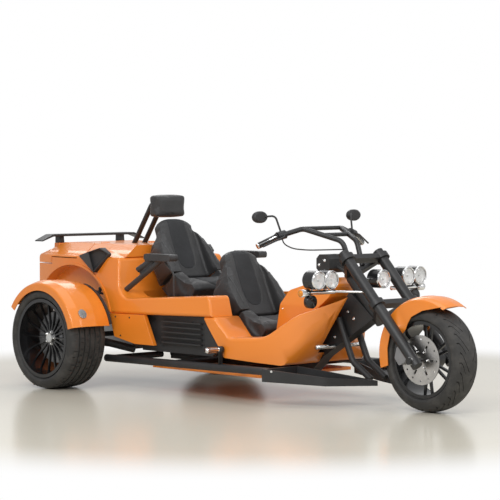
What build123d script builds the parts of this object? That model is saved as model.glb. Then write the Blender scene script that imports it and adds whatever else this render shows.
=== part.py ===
from build123d import *
import math
import os

# Motor trike in millimetres: +X forward, +Y left, +Z up.
# Lengths along the trike are measured from the rear axle and heights from the ground.
# The finished pieces are moved so that the origin is on the ground under the middle.

os.makedirs("parts", exist_ok=True)

# Overall layout
WHEELBASE = 2593
TAIL_X = -640
GAP = 0.5
OVERRUN = 20
FINE = 3
SHEET = 5
PANEL = 12

# Rear wheels
REAR_TYRE_RADIUS = 329
REAR_TYRE_WIDTH = 298
REAR_TRACK = 1462
REAR_RIM_RADIUS = 243
REAR_LIP_HEIGHT = 13
REAR_SHOULDER = 46
REAR_SPOKE_PAIRS = 9
REAR_SPOKE_SPREAD = 10
REAR_SPOKE_WIDTH = 10
REAR_DISH = 98

# Front wheel
FRONT_TYRE_RADIUS = 310
FRONT_TYRE_WIDTH = 186
FRONT_RIM_RADIUS = 216
FRONT_LIP_HEIGHT = 11
FRONT_SHOULDER = 60
FRONT_SPOKE_PAIRS = 6
FRONT_SPOKE_SPREAD = 8
FRONT_SPOKE_WIDTH = 13

# Parts shared by all wheels
RIM_WALL = 9
SPOKE_THICKNESS = 22
SPOKE_TIP_SHARE = 0.6
HUB_RADIUS = 52
HUB_LENGTH = 70
CAP_RADIUS = 30
CAP_HEIGHT = 14
BORE_GAP = 0.3
DISC_RADIUS = 146
DISC_THICKNESS = 5
DISC_BAND = 48
DISC_OFFSET = 88
DISC_SLOTS = 6
DISC_SLOT_WIDTH = 14
DISC_HOLES = 12
DISC_HOLE_DIAMETER = 12
# Tyre shoulder from the side wall to the tread, as (inward, drop) shares of its size
SHOULDER_SHARES = ((0.1, 1.3), (0, 0.95), (0.16, 0.5), (0.5, 0.14), (1.1, 0))

# Steering head and fork
RAKE = 43
FORK_OFFSET = 158
FORK_HALF_SPREAD = 150
FORK_LEG_DIAMETER = 66
FORK_LEG_LENGTH = 835
FORK_FOOT = 42
AXLE_DIAMETER = 24
AXLE_NUT_DIAMETER = 42
AXLE_NUT_LENGTH = 16
UPPER_YOKE_AT = 786
LOWER_YOKE_AT = 430
YOKE_THICKNESS = 34
YOKE_WIDTH = 96
YOKE_RING = 14
STEM_DIAMETER = 44
HEAD_DIAMETER = 76

# Brake caliper, its side outline as (up the fork, toward the rear) shares of the disc radius
CALIPER_WALL = 16
CALIPER_GAP = 5
CALIPER_ROUND = 12
CALIPER_SHARES = ((0.44, 0.1), (0.98, 0.1), (1.04, 0.45), (0.8, 0.82), (0.42, 0.84), (0.32, 0.5))

# Handlebar, from the riser on the upper yoke out to the grip.
# Each place is (distance behind the front axle, distance from the middle, height).
BAR_DIAMETER = 32
CROSSBAR_DIAMETER = 26
RISER = (605, 52, 838)
BAR_BEND = (661, 62, 986)
BAR_KNEE = (899, 164, 1060)
GRIP_INNER = (947, 338, 1014)
GRIP_OUTER = (995, 460, 956)
BAR_BEND_RADIUS = 70
KNEE_RADIUS = 45
CROSSBAR_SHARE = 0.5
GRIP_DIAMETER = 36
CONTROL_LENGTH = 58
CONTROL_DIAMETER = 54
CONTROL_GAP = 3
LEVER_REACH = 52
LEVER_DIAMETER = 11
LEVER_BEND = 14
CORD_SHARE = 0.45
CABLE_DIAMETER = 8
CABLE_ROUTE = ((936, 310, 1008), (900, 324, 968), (850, 296, 942), (780, 240, 934), (710, 180, 936), (652, 122, 938), (640, 78, 938))
MIRROR_CENTRE = (1033, 410, 1132)
MIRROR_WIDTH = 116
MIRROR_HEIGHT = 72
MIRROR_THICKNESS = 26
MIRROR_STEM = 12
MIRROR_ELBOW = (971, 330, 1140)
MIRROR_ELBOW_RADIUS = 30

# Instrument pod and lamps
POD_BACK = 817
POD_Z = 846
POD_LENGTH = 112
POD_WIDTH = 150
POD_HEIGHT = 112
POD_CORNER = 26
POD_ARM_HEIGHT = 20
LAMP_DIAMETER = 112
LAMP_GLASS_DIAMETER = 96
LAMP_GLASS_DEPTH = 14
LAMP_LENGTH = 118
LAMP_BACK_SHARE = 0.26
LAMP_FACE_BACK = 482
LAMP_Z = 769
LAMP_OUTER_Y = 442
LAMP_INNER_Y = 336
HEADLAMP_FACE_BACK = 377
HEADLAMP_Z = 766
LAMP_BAR_DIAMETER = 26
LAMP_BAR_BACK = 547
LAMP_BAR_Z = 694
LAMP_BAR_INNER_Y = 250
LAMP_BAR_OUTER_Y = 470
SIGNAL_DIAMETER = 46
SIGNAL_LENGTH = 64
HORN_DIAMETER = 78
HORN_DEPTH = 34
HORN_Y = 452
LAMP_STAY_DIAMETER = 14

# Front fender over the steered wheel
FENDER_GAP = 16
FENDER_FORWARD = 10
FENDER_RISE = 26
FENDER_BOSS_AT = 250
FENDER_EDGE_ROUND = 14
FENDER_SHARES = [(-1, 0, 0.4), (-0.7, 0.8, 2), (0, 1.15, 6), (0.7, 0.8, 2), (1, 0, 0.4)]
FENDER_EDGE_SHARES = [(62, 1.16), (85, 0.94), (104, 0.83), (115, 0.72), (130, 0.6), (137, 0.87), (148, 0.87), (167, 0.83), (199, 0.83)]
FENDER_SHEET = 5
FENDER_WIDTH = 214
FENDER_FRONT_ANGLE = 58
FENDER_REAR_ANGLE = 196
FENDER_CROWN = 20
FENDER_BOSS_DIAMETER = 34

# Rear fenders
REAR_FENDER_GAP = 20
REAR_FENDER_CROWN = 28
REAR_FENDER_BAND = 38
REAR_FENDER_SHARES = [(0, 0.1, 0.2), (0.4, 0.9, 3), (0.8, 1, 1.6), (1, 0.28, 0.6)]
REFLECTOR_DIAMETER = 62
REFLECTOR_DEPTH = 5
REFLECTOR_ANGLE = 27
REFLECTOR_Y = 800
REAR_FENDER_INNER_Y = 578
REAR_FENDER_OUTER_Y = 890
REAR_FENDER_FRONT_ANGLE = 14
REAR_FENDER_REAR_ANGLE = 147

# Rear body with the load space
SHELF_Z = 850
SHELF_ROUND = 34
TAIL_ROUND = 32
SWEEP_ROUND = 120
DECK_Z = 926
DECK_HALF_WIDTH = 300
DECK_BASE_HALF_WIDTH = 392
DECK_REAR_X = -470
DECK_BASE_REAR_X = -600
DECK_FRONT_X = 285
TAIL_LOW_Z = 470
WAIST_Z = 488
WAIST_FRONT_Z = 508
REAR_BODY_FRONT_X = 335
LEDGE_REAR_Z = 585
LEDGE_ROUND = 18
LEDGE_UP_SHARE = 0.15
LEDGE_FRONT_Z = 636
LEDGE_FRONT_BACK = 1423
UPPER_BODY_FRONT_BACK = 1388
TAIL_HALF_WIDTH = 392
TAIL_STATION_X = -450
TAIL_STATION_HALF_WIDTH = 430
HIP_X = 240
HIP_HALF_WIDTH = 520
HIP_TOP_HALF_WIDTH = 440
SIDE_FRONT_HALF_WIDTH = 480
WELL_HALF_WIDTH = 300
ARCH_X = -196
ARCH_Z = 278
ARCH_RADIUS = 508
ARCH_DEPTH_Y = 345
ARCH_LIP = 15
ARCH_LIP_PROUD = 6
LIP_INNER_Y = 410
TRUNK_REAR_X = -600
TRUNK_FRONT_X = -60
TRUNK_FLOOR_Z = 600
TRUNK_HALF_WIDTH = 318
ENGINE_BAY_HALF_WIDTH = 300
ENGINE_BAY_FRONT_X = 300
LID_FRONT_X = -150
LID_STEP_X = -452
LID_LOW_Z = 790
LID_INSET = 14
LID_THICKNESS = 14
LID_SEAM = 6
HINGE_Y = 210
HINGE_RADIUS = 5
HINGE_LENGTH = 70
LATCH_WIDTH = 40
LATCH_HEIGHT = 14
LATCH_DEPTH = 8
LATCH_BAR_SHARE = 0.6

# Spoiler over the lid
SPOILER_HALF_WIDTH = 455
SPOILER_REAR_X = -604
SPOILER_CHORD = 88
SPOILER_Z = 972
SPOILER_THICKNESS = 16
SPOILER_TIP_DROP = 40
SPOILER_TIP_START_Y = 360
SPOILER_SUPPORT_Y = 268
SPOILER_SUPPORT_WIDTH = 46
SPOILER_SUPPORT_CHORD = 60
PEDESTAL_WIDTH = 58
PEDESTAL_TOP_Z = 920
SUPPORT_TAPER_SHARE = 0.82
TIP_ROUND = 60

# Air scoops on the flanks
SCOOP_REAR_X = -117
SCOOP_REAR_Z = 850
SCOOP_REAR_Y = 462
SCOOP_CREST_X = 36
SCOOP_CREST_Z = 881
SCOOP_APEX_Z = 909
SCOOP_FRONT_X = 201
SCOOP_FRONT_Z = 869
SCOOP_LOW_X = 87
SCOOP_APEX_X = 134
SCOOP_LOW_Z = 744
SCOOP_INNER_Y = 430
SCOOP_OUTER_Y = 512
SCOOP_WALL = 6

# Nose body round the front cockpit
NOSE_REAR_TOP_BACK = 1463
NOSE_SEAT_BACK = 1371
NOSE_DIP_BACK = 1253
NOSE_DIP_Z = 384
NOSE_RISE_BACK = 1033
NOSE_RISE_Z = 398
NOSE_RIDGE_BACK = 873
NOSE_RIDGE_Z = 535
NOSE_TIP_BACK = 579
NOSE_TIP_Z = 654
NOSE_LOW_BACK = 883
NOSE_LOW_Z = 232
NOSE_HEEL_BACK = 1293
NOSE_HEEL_Z = 262
NOSE_REAR_LOW_BACK = 1331
NOSE_REAR_LOW_Z = 322
NOSE_LOW_HALF_WIDTH = 352
NOSE_RIDGE_HALF_WIDTH = 215
NOSE_TIP_HALF_WIDTH = 150
NOSE_TIP_TOP_HALF_WIDTH = 108
NOSE_TUMBLE = 48
NOSE_ROUND = 36
NOSE_SWEEP = 130
NOSE_EDGE = 24
NOSE_UP_SHARE = 0.3
CHANNEL_HALF_WIDTH = 100
COCKPIT_HALF_WIDTH = 262
COCKPIT_FLOOR_Z = 300
COCKPIT_FRONT_BACK = 1093

# Tank cover between the rider's legs
TANK_REAR_BACK = 1153
TANK_LOW_Z = 398
TANK_KNEE_BACK = 1113
TANK_KNEE_Z = 590
TANK_SHOULDER_BACK = 1057
TANK_SHOULDER_Z = 676
TANK_TOP_BACK = 763
TANK_TOP_Z = 764
TANK_NOSE_BACK = 681
TANK_NOSE_Z = 722
TANK_CHIN_BACK = 709
TANK_CHIN_Z = 648
TANK_BELLY_BACK = 983
TANK_HALF_WIDTH = 150
TANK_TOP_HALF_WIDTH = 92
TANK_ROUND = 40

# Flank panels and intakes
SIDE_PANEL_REAR_X = 262
SIDE_PANEL_FRONT_X = 610
SIDE_PANEL_LOW_FRONT_X = 706
SIDE_PANEL_LOW_X = 520
SIDE_PANEL_LOW_Z = 304
SIDE_PANEL_HEEL_X = 318
SIDE_PANEL_HEEL_Z = 340
SIDE_PANEL_THICKNESS = 30
INTAKE_INNER_Y = 425
INTAKE_FRAME = 26
INTAKE_LOUVRES = 5
LOUVRE_THICKNESS = 9

# Frame
SPINE_HALF_WIDTH = 45
SPINE_FLOOR_Z = 170
SPINE_TOP_Z = 262
SPINE_REAR_X = 330
SPINE_BEND_BACK = 993
RAIL_DIAMETER = 48
RAIL_Y = 482
RAIL_Z = 192
RAIL_FRONT_Z = 206
RAIL_REAR_X = 194
CROSS_DIAMETER = 42
CROSS_SHARES = (0.03, 0.42, 0.81)
DOWN_TUBE_DIAMETER = 40
DOWN_TUBE_TOP = (688, 520)
DOWN_TUBE_BEND = (571, 262)
DOWN_TUBE_END = (421, 166)
DOWN_TUBE_BEND_RADIUS = 90
BOARD_REAR_BACK = 863
BOARD_OUTER_Y = 548
BOARD_NOSE_BACK = 363
BOARD_NOSE_Y = 66
BOARD_REAR_LOW_Z = 151
BOARD_REAR_TOP_Z = 229
BOARD_MID_LOW_Z = 133
BOARD_NOSE_LOW_Z = 130
BOARD_NOSE_TOP_Z = 162
BOARD_INNER_Y = 250
BOARD_ROUND = 60
BOARD_MID_BACK = 533
BOARD_MID_Y = 338
BELLY_REAR_X = 560
BELLY_FRONT_BACK = 1033
BELLY_HALF_WIDTH = 400
BELLY_THICKNESS = 20

# Engine, suspension and exhaust
ENGINE_X = -30
ENGINE_LENGTH = 460
ENGINE_WIDTH = 520
ENGINE_HEIGHT = 340
ENGINE_Z = 235
ARM_PIVOT_X = 330
ARM_PIVOT_Y = 360
ARM_PIVOT_Z = 250
ARM_DIAMETER = 50
KNUCKLE_Y = 545
KNUCKLE_RADIUS = 58
KNUCKLE_WIDTH = 50
SHAFT_DIAMETER = 34
STAY_WIDTH = 24
STAY_START_ANGLE = 16
STAY_END_ANGLE = 78
DAMPER_ROD = 22
SPRING_DIAMETER = 58
SPRING_WIRE = 9
SPRING_SHARES = (0.3, 0.4, 0.5, 0.6, 0.7, 0.8, 0.9)
DAMPER_TOP = (120, 470, 640)
SILENCER_DIAMETER = 120
SILENCER_LENGTH = 420
SILENCER_X = -470
SILENCER_Z = 300
TAILPIPE_DIAMETER = 56
TAILPIPE_LENGTH = 80
COLLAR_DIAMETER = 68
COLLAR_LENGTH = 12
TAILPIPE_Y = 150
TAIL_LAMP_Y = 300
TAIL_LAMP_Z = 640
TAIL_LAMP_DIAMETER = 96
TAIL_LAMP_DEPTH = 26

# Seats
SEAT_GAP = 0.3
PEDESTAL_INSET = 6
PEDESTAL_LENGTH = 90
PEDESTAL_HALF_WIDTH = 200
CORE_HALF_WIDTH = 150
WING_HALF_WIDTH = 224
# The driver's seat is placed behind the front axle, the passenger's ahead of the rear axle.
DRIVER_HIP_BACK = 1553
DRIVER_SHOULDER_BACK = 1717
DRIVER_HIP_Z = 420
DRIVER_SHOULDER_Z = 898
# Side outlines as (forward, up, corner radius) shares of the length from hip to shoulder
BACK_CORE_SHARES = ((0, 0, 0.03), (-0.01, 0.42, 0.4), (0.01, 1, 0.06), (0.14, 1, 0.06), (0.17, 0.5, 0.3), (0.22, 0.064, 0.02))
BACK_WING_SHARES = ((0.02, 0, 0.03), (-0.01, 0.14, 0.1), (-0.07, 0.41, 0.3), (0.1, 0.9, 0.04), (0.2, 0.8, 0.08), (0.24, 0.6, 0.2), (0.38, 0.22, 0.1), (0.42, 0.12, 0))
CUSHION_CORE_SHARES = ((0.03, 0, 0.02), (0.22, 0.055, 0.06), (0.45, 0, 0.2), (0.72, -0.15, 0.05), (0.74, -0.24, 0.04), (0.564, -0.32, 0.03), (0.17, -0.2, 0.03), (0.04, -0.1, 0.03))
CUSHION_WING_SHARES = ((0.03, 0.003, 0.02), (0.41, 0.117, 0.03), (0.55, -0.06, 0.1), (0.7, -0.14, 0.04), (0.74, -0.24, 0.04), (0.564, -0.325, 0.03), (0.166, -0.204, 0.05))
# Front outline of the backrest as (across, up) shares of half the width and of the length
SHOULDER_LINE_SHARES = ((1, -0.2), (1, 0.5), (0.86, 0.72), (0.66, 0.95), (0.5, 1.02))
SHOULDER_ROUND = 30
PASSENGER_HIP = (404, 640)
PASSENGER_SHOULDER = (246, 1092)
HEADREST_HALF_WIDTH = 130
HEADREST_HEIGHT = 146
HEADREST_DEPTH = 88
HEADREST_X = 247
HEADREST_Z = 1178
HOOP_DIAMETER = 34
HOOP_HALF_SPREAD = 45
HOOP_BASE_X = -62
HOOP_TOP_X = 148
HOOP_TOP_Z = 1196
HOOP_BEND_RADIUS = 50
ARMREST_Y = 392
ARMREST_X = 632
ARMREST_Z = 858
ARMREST_LENGTH = 262
ARMREST_WIDTH = 78
ARMREST_HEIGHT = 50
ARMREST_ROUND = 20
ARMREST_STUB = 42
# Padded stubs under each pad as (start, drop, backward reach) shares of its length
ARMREST_STUB_SHARES = ((0.62, 0.86, 1.3), (0.3, 0.33, 0.5))
ARMREST_TUBE = 20
ARMREST_POST_X = 758
PEG_BACK = 1300
PEG_Z = 314
PEG_DIAMETER = 28
PEG_LENGTH = 100
PEG_COLLAR_LENGTH = 20
PEG_COLLAR_DIAMETER = 42
RIDER_PEG_BACK = 741
RIDER_PEG_Z = 346
RIDER_PEG_LENGTH = 165

POD_X = WHEELBASE - POD_BACK
LAMP_FACE_X = WHEELBASE - LAMP_FACE_BACK
HEADLAMP_FACE_X = WHEELBASE - HEADLAMP_FACE_BACK
LAMP_BAR_X = WHEELBASE - LAMP_BAR_BACK
LEDGE_FRONT_X = WHEELBASE - LEDGE_FRONT_BACK
UPPER_BODY_FRONT_X = WHEELBASE - UPPER_BODY_FRONT_BACK
NOSE_REAR_TOP_X = WHEELBASE - NOSE_REAR_TOP_BACK
NOSE_SEAT_X = WHEELBASE - NOSE_SEAT_BACK
NOSE_DIP_X = WHEELBASE - NOSE_DIP_BACK
NOSE_RISE_X = WHEELBASE - NOSE_RISE_BACK
NOSE_RIDGE_X = WHEELBASE - NOSE_RIDGE_BACK
NOSE_TIP_X = WHEELBASE - NOSE_TIP_BACK
NOSE_LOW_X = WHEELBASE - NOSE_LOW_BACK
NOSE_HEEL_X = WHEELBASE - NOSE_HEEL_BACK
NOSE_REAR_LOW_X = WHEELBASE - NOSE_REAR_LOW_BACK
COCKPIT_FRONT_X = WHEELBASE - COCKPIT_FRONT_BACK
TANK_REAR_X = WHEELBASE - TANK_REAR_BACK
TANK_KNEE_X = WHEELBASE - TANK_KNEE_BACK
TANK_SHOULDER_X = WHEELBASE - TANK_SHOULDER_BACK
TANK_TOP_X = WHEELBASE - TANK_TOP_BACK
TANK_NOSE_X = WHEELBASE - TANK_NOSE_BACK
TANK_CHIN_X = WHEELBASE - TANK_CHIN_BACK
TANK_BELLY_X = WHEELBASE - TANK_BELLY_BACK
SPINE_BEND_X = WHEELBASE - SPINE_BEND_BACK
BOARD_REAR_X = WHEELBASE - BOARD_REAR_BACK
BOARD_NOSE_X = WHEELBASE - BOARD_NOSE_BACK
BOARD_MID_X = WHEELBASE - BOARD_MID_BACK
BELLY_FRONT_X = WHEELBASE - BELLY_FRONT_BACK
PEG_X = WHEELBASE - PEG_BACK
RIDER_PEG_X = WHEELBASE - RIDER_PEG_BACK
DRIVER_HIP_X = WHEELBASE - DRIVER_HIP_BACK
DRIVER_SHOULDER_X = WHEELBASE - DRIVER_SHOULDER_BACK
MIDDLE_X = (WHEELBASE + FRONT_TYRE_RADIUS + TAIL_X) / 2
SIN_RAKE = math.sin(math.radians(RAKE))
COS_RAKE = math.cos(math.radians(RAKE))
SIDES = {"right": -1, "left": 1}


def write(node, *solids):
    """Move the solids of one node to the part's origin and save them."""
    shape = solids[0] if len(solids) == 1 else Compound(children=list(solids))
    export_step(Pos(-MIDDLE_X, 0, 0) * shape, "parts/" + node + ".step")


def slab(points, y_from, y_to):
    """A side outline in X and Z, as thick as the distance from y_from to y_to."""
    face = make_face(Polyline(*[(x, 0, z) for x, z in points], close=True))
    return Pos(0, y_from, 0) * extrude(face, y_to - y_from, dir=(0, 1, 0))


def rounded_slab(points, y_from, y_to):
    """A side outline of (x, z, corner radius) rows, as thick as the distance from y_from to y_to."""
    corners = [radius for _, _, radius in points]
    path = FilletPolyline(*[(x, 0, z) for x, z, _ in points], radius=corners, close=True)
    return Pos(0, y_from, 0) * extrude(make_face(path), y_to - y_from, dir=(0, 1, 0))


def between(side, inner, outer):
    """The two Y stations of a piece on one side, the lower one first."""
    return sorted((side * inner, side * outer))


def across(points, x_from, x_to):
    """An outline in Y and Z, as long as the distance from x_from to x_to."""
    face = make_face(Polyline(*[(0, y, z) for y, z in points], close=True))
    return Pos(x_from, 0, 0) * extrude(face, x_to - x_from, dir=(1, 0, 0))


def block(x_from, x_to, y_from, y_to, z_from, z_to):
    """A box between two corners."""
    size = (x_to - x_from, y_to - y_from, z_to - z_from)
    return Pos(x_from, y_from, z_from) * Box(*size, align=(Align.MIN, Align.MIN, Align.MIN))


def rounded_across(points, x_from, x_to):
    """An outline of (y, z, corner radius) rows, as long as the distance from x_from to x_to."""
    corners = [radius for _, _, radius in points]
    path = FilletPolyline(*[(0, y, z) for y, z, _ in points], radius=corners, close=True)
    return Pos(x_from, 0, 0) * extrude(make_face(path), x_to - x_from, dir=(1, 0, 0))


def rod(start, end, diameter):
    """A round bar between two points."""
    line = Line(start, end)
    return sweep(Plane(origin=line @ 0, z_dir=line % 0) * Circle(diameter / 2), path=line)


def bent_rod(points, radius, diameter):
    """A round bar through the points with tangent bends of one radius."""
    path = FilletPolyline(*points, radius=radius)
    return sweep(Plane(origin=path @ 0, z_dir=path % 0) * Circle(diameter / 2), path=path)


def cord(points, diameter):
    """A cord through the points, each bend as wide as its two runs allow."""
    places = [Vector(*point) for point in points]
    radii = []
    for before, corner, after in zip(places, places[1:], places[2:]):
        arrive = corner - before
        leave = after - corner
        turn = math.radians(arrive.get_angle(leave))
        radii.append(CORD_SHARE * min(arrive.length, leave.length) / math.tan(turn / 2))
    print("cord radii", [round(radius) for radius in radii])
    path = FilletPolyline(*points, radius=radii)
    solid = sweep(Plane(origin=path @ 0, z_dir=path % 0) * Circle(diameter / 2), path=path)
    print("cord volume", round(solid.volume), round(path.length * math.pi * diameter * diameter / 4))
    return solid


def axle_cylinder(radius, y_from, y_to):
    """A cylinder about the Y axis between two stations."""
    return Pos(0, y_from, 0) * extrude(Plane.XZ.offset(0) * Circle(radius), y_to - y_from, dir=(0, 1, 0))


def about_axle(points):
    """Revolve an outline of (y, radius) pairs about the Y axis."""
    face = make_face(Polyline(*[(radius, y, 0) for y, radius in points], close=True))
    return revolve(face, Axis.Y)


def fork_point(along, offset, y):
    """A place measured up the fork from the axle and square to it toward the rear."""
    x = WHEELBASE - along * SIN_RAKE - offset * COS_RAKE
    z = FRONT_TYRE_RADIUS + along * COS_RAKE - offset * SIN_RAKE
    return (x, y, z)


def mirrored_y(point, side):
    """The same place on the named side."""
    return (point[0], side * point[1], point[2])


def from_axle(point, side):
    """A place given by its distance behind the front axle, from the middle and above the ground."""
    return (WHEELBASE - point[0], side * point[1], point[2])


def tyre(radius, width, rim_radius, shoulder, rim_width, lip_height):
    """A tyre about the Y axis, its shoulders in short straight steps, with open beads."""
    bead = rim_width / 2 - lip_height - GAP
    outline = [(bead, rim_radius), (bead, rim_radius + lip_height + GAP)]
    outline += [(width / 2 - shoulder * inward, radius - shoulder * drop) for inward, drop in SHOULDER_SHARES]
    return about_axle(outline + [(-y, reach) for y, reach in outline[::-1]])


def wheel_rim(rim_radius, width, lip_height, spoke_y, pairs, hub_end, spread, spoke_width):
    """A rim about the Y axis: barrel, lips, hub and pairs of tapered spokes set at spoke_y."""
    half = width / 2
    bead = half - lip_height
    outline = [
        (-half, rim_radius - RIM_WALL),
        (-half, rim_radius + lip_height),
        (-bead, rim_radius + lip_height),
        (-bead, rim_radius - GAP),
        (bead, rim_radius - GAP),
        (bead, rim_radius + lip_height),
        (half, rim_radius + lip_height),
        (half, rim_radius - RIM_WALL),
    ]
    rim = about_axle(outline)
    rim += axle_cylinder(HUB_RADIUS, spoke_y - SPOKE_THICKNESS / 2, hub_end)
    reach = rim_radius - RIM_WALL / 2
    back = spoke_y + SPOKE_THICKNESS / 2
    face = make_face(Polyline((0, back, 0), (0, back - SPOKE_THICKNESS, 0), (0, back - SPOKE_THICKNESS, HUB_RADIUS),
                              (0, back - SPOKE_THICKNESS * SPOKE_TIP_SHARE, reach), (0, back, reach), close=True))
    spoke = extrude(face, spoke_width / 2, both=True)
    for pair in range(pairs):
        for lean in (-1, 1):
            rim += Rot(0, 360 / pairs * pair + lean * spread, 0) * spoke
    return rim


def build_rear_wheels():
    """Wide rear tyres on deep-dished rims."""
    for name, side in SIDES.items():
        place = Pos(0, side * REAR_TRACK / 2, REAR_TYRE_RADIUS)
        turn = Rot(0, 0, 0 if side < 0 else 180)
        rim_width = REAR_TYRE_WIDTH - REAR_SHOULDER / 2
        spoke_y = -REAR_TYRE_WIDTH / 2 + REAR_DISH
        hub_end = REAR_TRACK / 2 - KNUCKLE_Y - KNUCKLE_WIDTH / 2 - BORE_GAP
        rim = wheel_rim(REAR_RIM_RADIUS, rim_width, REAR_LIP_HEIGHT, spoke_y, REAR_SPOKE_PAIRS, hub_end,
                        REAR_SPOKE_SPREAD, REAR_SPOKE_WIDTH)
        cap_from = spoke_y - SPOKE_THICKNESS / 2 - CAP_HEIGHT
        rim += axle_cylinder(CAP_RADIUS, cap_from, spoke_y)
        shell = tyre(REAR_TYRE_RADIUS, REAR_TYRE_WIDTH, REAR_RIM_RADIUS, REAR_SHOULDER, rim_width, REAR_LIP_HEIGHT)
        write("rear_rim_" + name, place * turn * rim)
        write("rear_tyre_" + name, place * turn * shell)


def build_front_wheel():
    """Front tyre, spoked rim and slotted brake disc."""
    place = Pos(WHEELBASE, 0, FRONT_TYRE_RADIUS)
    rim_width = FRONT_TYRE_WIDTH - FRONT_SHOULDER / 2
    rim = wheel_rim(FRONT_RIM_RADIUS, rim_width, FRONT_LIP_HEIGHT, -SPOKE_THICKNESS, FRONT_SPOKE_PAIRS, HUB_LENGTH,
                    FRONT_SPOKE_SPREAD, FRONT_SPOKE_WIDTH)
    rim += axle_cylinder(HUB_RADIUS, -DISC_OFFSET + DISC_THICKNESS / 2, 0)
    bore = AXLE_DIAMETER / 2 + BORE_GAP
    rim -= axle_cylinder(bore, -DISC_OFFSET - OVERRUN, HUB_LENGTH + OVERRUN)
    disc = axle_cylinder(DISC_RADIUS, -DISC_THICKNESS / 2, DISC_THICKNESS / 2)
    disc -= axle_cylinder(bore, -DISC_THICKNESS, DISC_THICKNESS)
    for slot in range(DISC_SLOTS):
        window = block(HUB_RADIUS + DISC_SLOT_WIDTH, DISC_RADIUS - DISC_BAND, -DISC_THICKNESS, DISC_THICKNESS,
                       -DISC_SLOT_WIDTH / 2, DISC_SLOT_WIDTH / 2)
        disc -= Rot(0, 360 / DISC_SLOTS * slot, 0) * window
    hole = axle_cylinder(DISC_HOLE_DIAMETER / 2, -DISC_THICKNESS, DISC_THICKNESS)
    for place_at in range(DISC_HOLES):
        disc -= Rot(0, 360 / DISC_HOLES * place_at, 0) * Pos(DISC_RADIUS - DISC_BAND / 2, 0, 0) * hole
    write("front_rim", place * rim)
    shell = tyre(FRONT_TYRE_RADIUS, FRONT_TYRE_WIDTH, FRONT_RIM_RADIUS, FRONT_SHOULDER, rim_width, FRONT_LIP_HEIGHT)
    write("front_tyre", place * shell)
    write("front_disc", place * Pos(0, -DISC_OFFSET, 0) * disc)


def fork_leg(side):
    """One fork leg from below the axle to above the upper yoke."""
    foot = fork_point(-FORK_FOOT, 0, side * FORK_HALF_SPREAD)
    top = fork_point(FORK_LEG_LENGTH, 0, side * FORK_HALF_SPREAD)
    return rod(foot, top, FORK_LEG_DIAMETER)


def build_fork():
    """Raked fork legs with the wheel axle, and the two yokes with the stem."""
    legs = [fork_leg(side) for side in SIDES.values()]
    outer = FORK_HALF_SPREAD + FORK_LEG_DIAMETER / 2
    place = Pos(WHEELBASE, 0, FRONT_TYRE_RADIUS)
    axle = place * axle_cylinder(AXLE_DIAMETER / 2, -outer, outer)
    for side in SIDES.values():
        ends = sorted((side * outer, side * (outer + AXLE_NUT_LENGTH)))
        axle += place * axle_cylinder(AXLE_NUT_DIAMETER / 2, ends[0], ends[1])
    write("fork_legs", legs[0] + legs[1] + axle)
    stem = rod(fork_point(LOWER_YOKE_AT, FORK_OFFSET, 0), fork_point(UPPER_YOKE_AT, FORK_OFFSET, 0), STEM_DIAMETER)
    yokes = stem
    for along in (LOWER_YOKE_AT, UPPER_YOKE_AT):
        yokes += yoke(along)
    write("fork_yokes", yokes)
    write("brake_caliper", brake_caliper())


def brake_caliper():
    """Caliper over the disc's rear edge, bolted to the rear of the right fork leg."""
    outer = FORK_HALF_SPREAD - FORK_LEG_DIAMETER / 2
    inner = DISC_OFFSET - DISC_THICKNESS / 2 - CALIPER_GAP - CALIPER_WALL
    rows = [fork_point(along * DISC_RADIUS, back * DISC_RADIUS, 0) for along, back in CALIPER_SHARES]
    body = rounded_slab([(x, z, CALIPER_ROUND) for x, _, z in rows], -outer - FORK_LEG_DIAMETER / 4, -inner)
    slot = DISC_THICKNESS / 2 + CALIPER_GAP
    body -= Pos(WHEELBASE, -DISC_OFFSET, FRONT_TYRE_RADIUS) * axle_cylinder(DISC_RADIUS + CALIPER_GAP, -slot, slot)
    return body - fork_leg(-1)


def yoke(along):
    """One yoke plate square to the fork, clamped round both legs."""
    centre = fork_point(along, FORK_OFFSET / 2, 0)
    plane = Plane(origin=centre, x_dir=(0, 1, 0), z_dir=(-SIN_RAKE, 0, COS_RAKE))
    half = FORK_HALF_SPREAD
    reach = FORK_OFFSET / 2
    ring = FORK_LEG_DIAMETER / 2 + YOKE_RING
    outline = Polyline((-half, -reach + YOKE_WIDTH / 4), (-half, -reach - YOKE_WIDTH / 4), (0, reach - YOKE_WIDTH / 4),
                       (half, -reach - YOKE_WIDTH / 4), (half, -reach + YOKE_WIDTH / 4),
                       (YOKE_WIDTH / 2, reach), (-YOKE_WIDTH / 2, reach), close=True)
    bridge = Polyline((-half, -reach - YOKE_WIDTH / 4), (half, -reach - YOKE_WIDTH / 4),
                      (half, -reach + YOKE_WIDTH / 4), (-half, -reach + YOKE_WIDTH / 4), close=True)
    thickness = YOKE_THICKNESS
    solid = plane * extrude(make_face(bridge), thickness / 2, both=True)
    solid += plane * extrude(make_face(outline), thickness / 2, both=True)
    solid += plane * Pos(0, reach, 0) * extrude(Circle(STEM_DIAMETER / 2 + YOKE_RING), thickness / 2, both=True)
    for side in SIDES.values():
        solid += plane * Pos(side * half, -reach, 0) * extrude(Circle(ring), thickness / 2, both=True)
    for side in SIDES.values():
        bore = Circle(FORK_LEG_DIAMETER / 2 + GAP / 2)
        solid -= plane * Pos(side * half, -reach, 0) * extrude(bore, thickness, both=True)
    return solid


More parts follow.
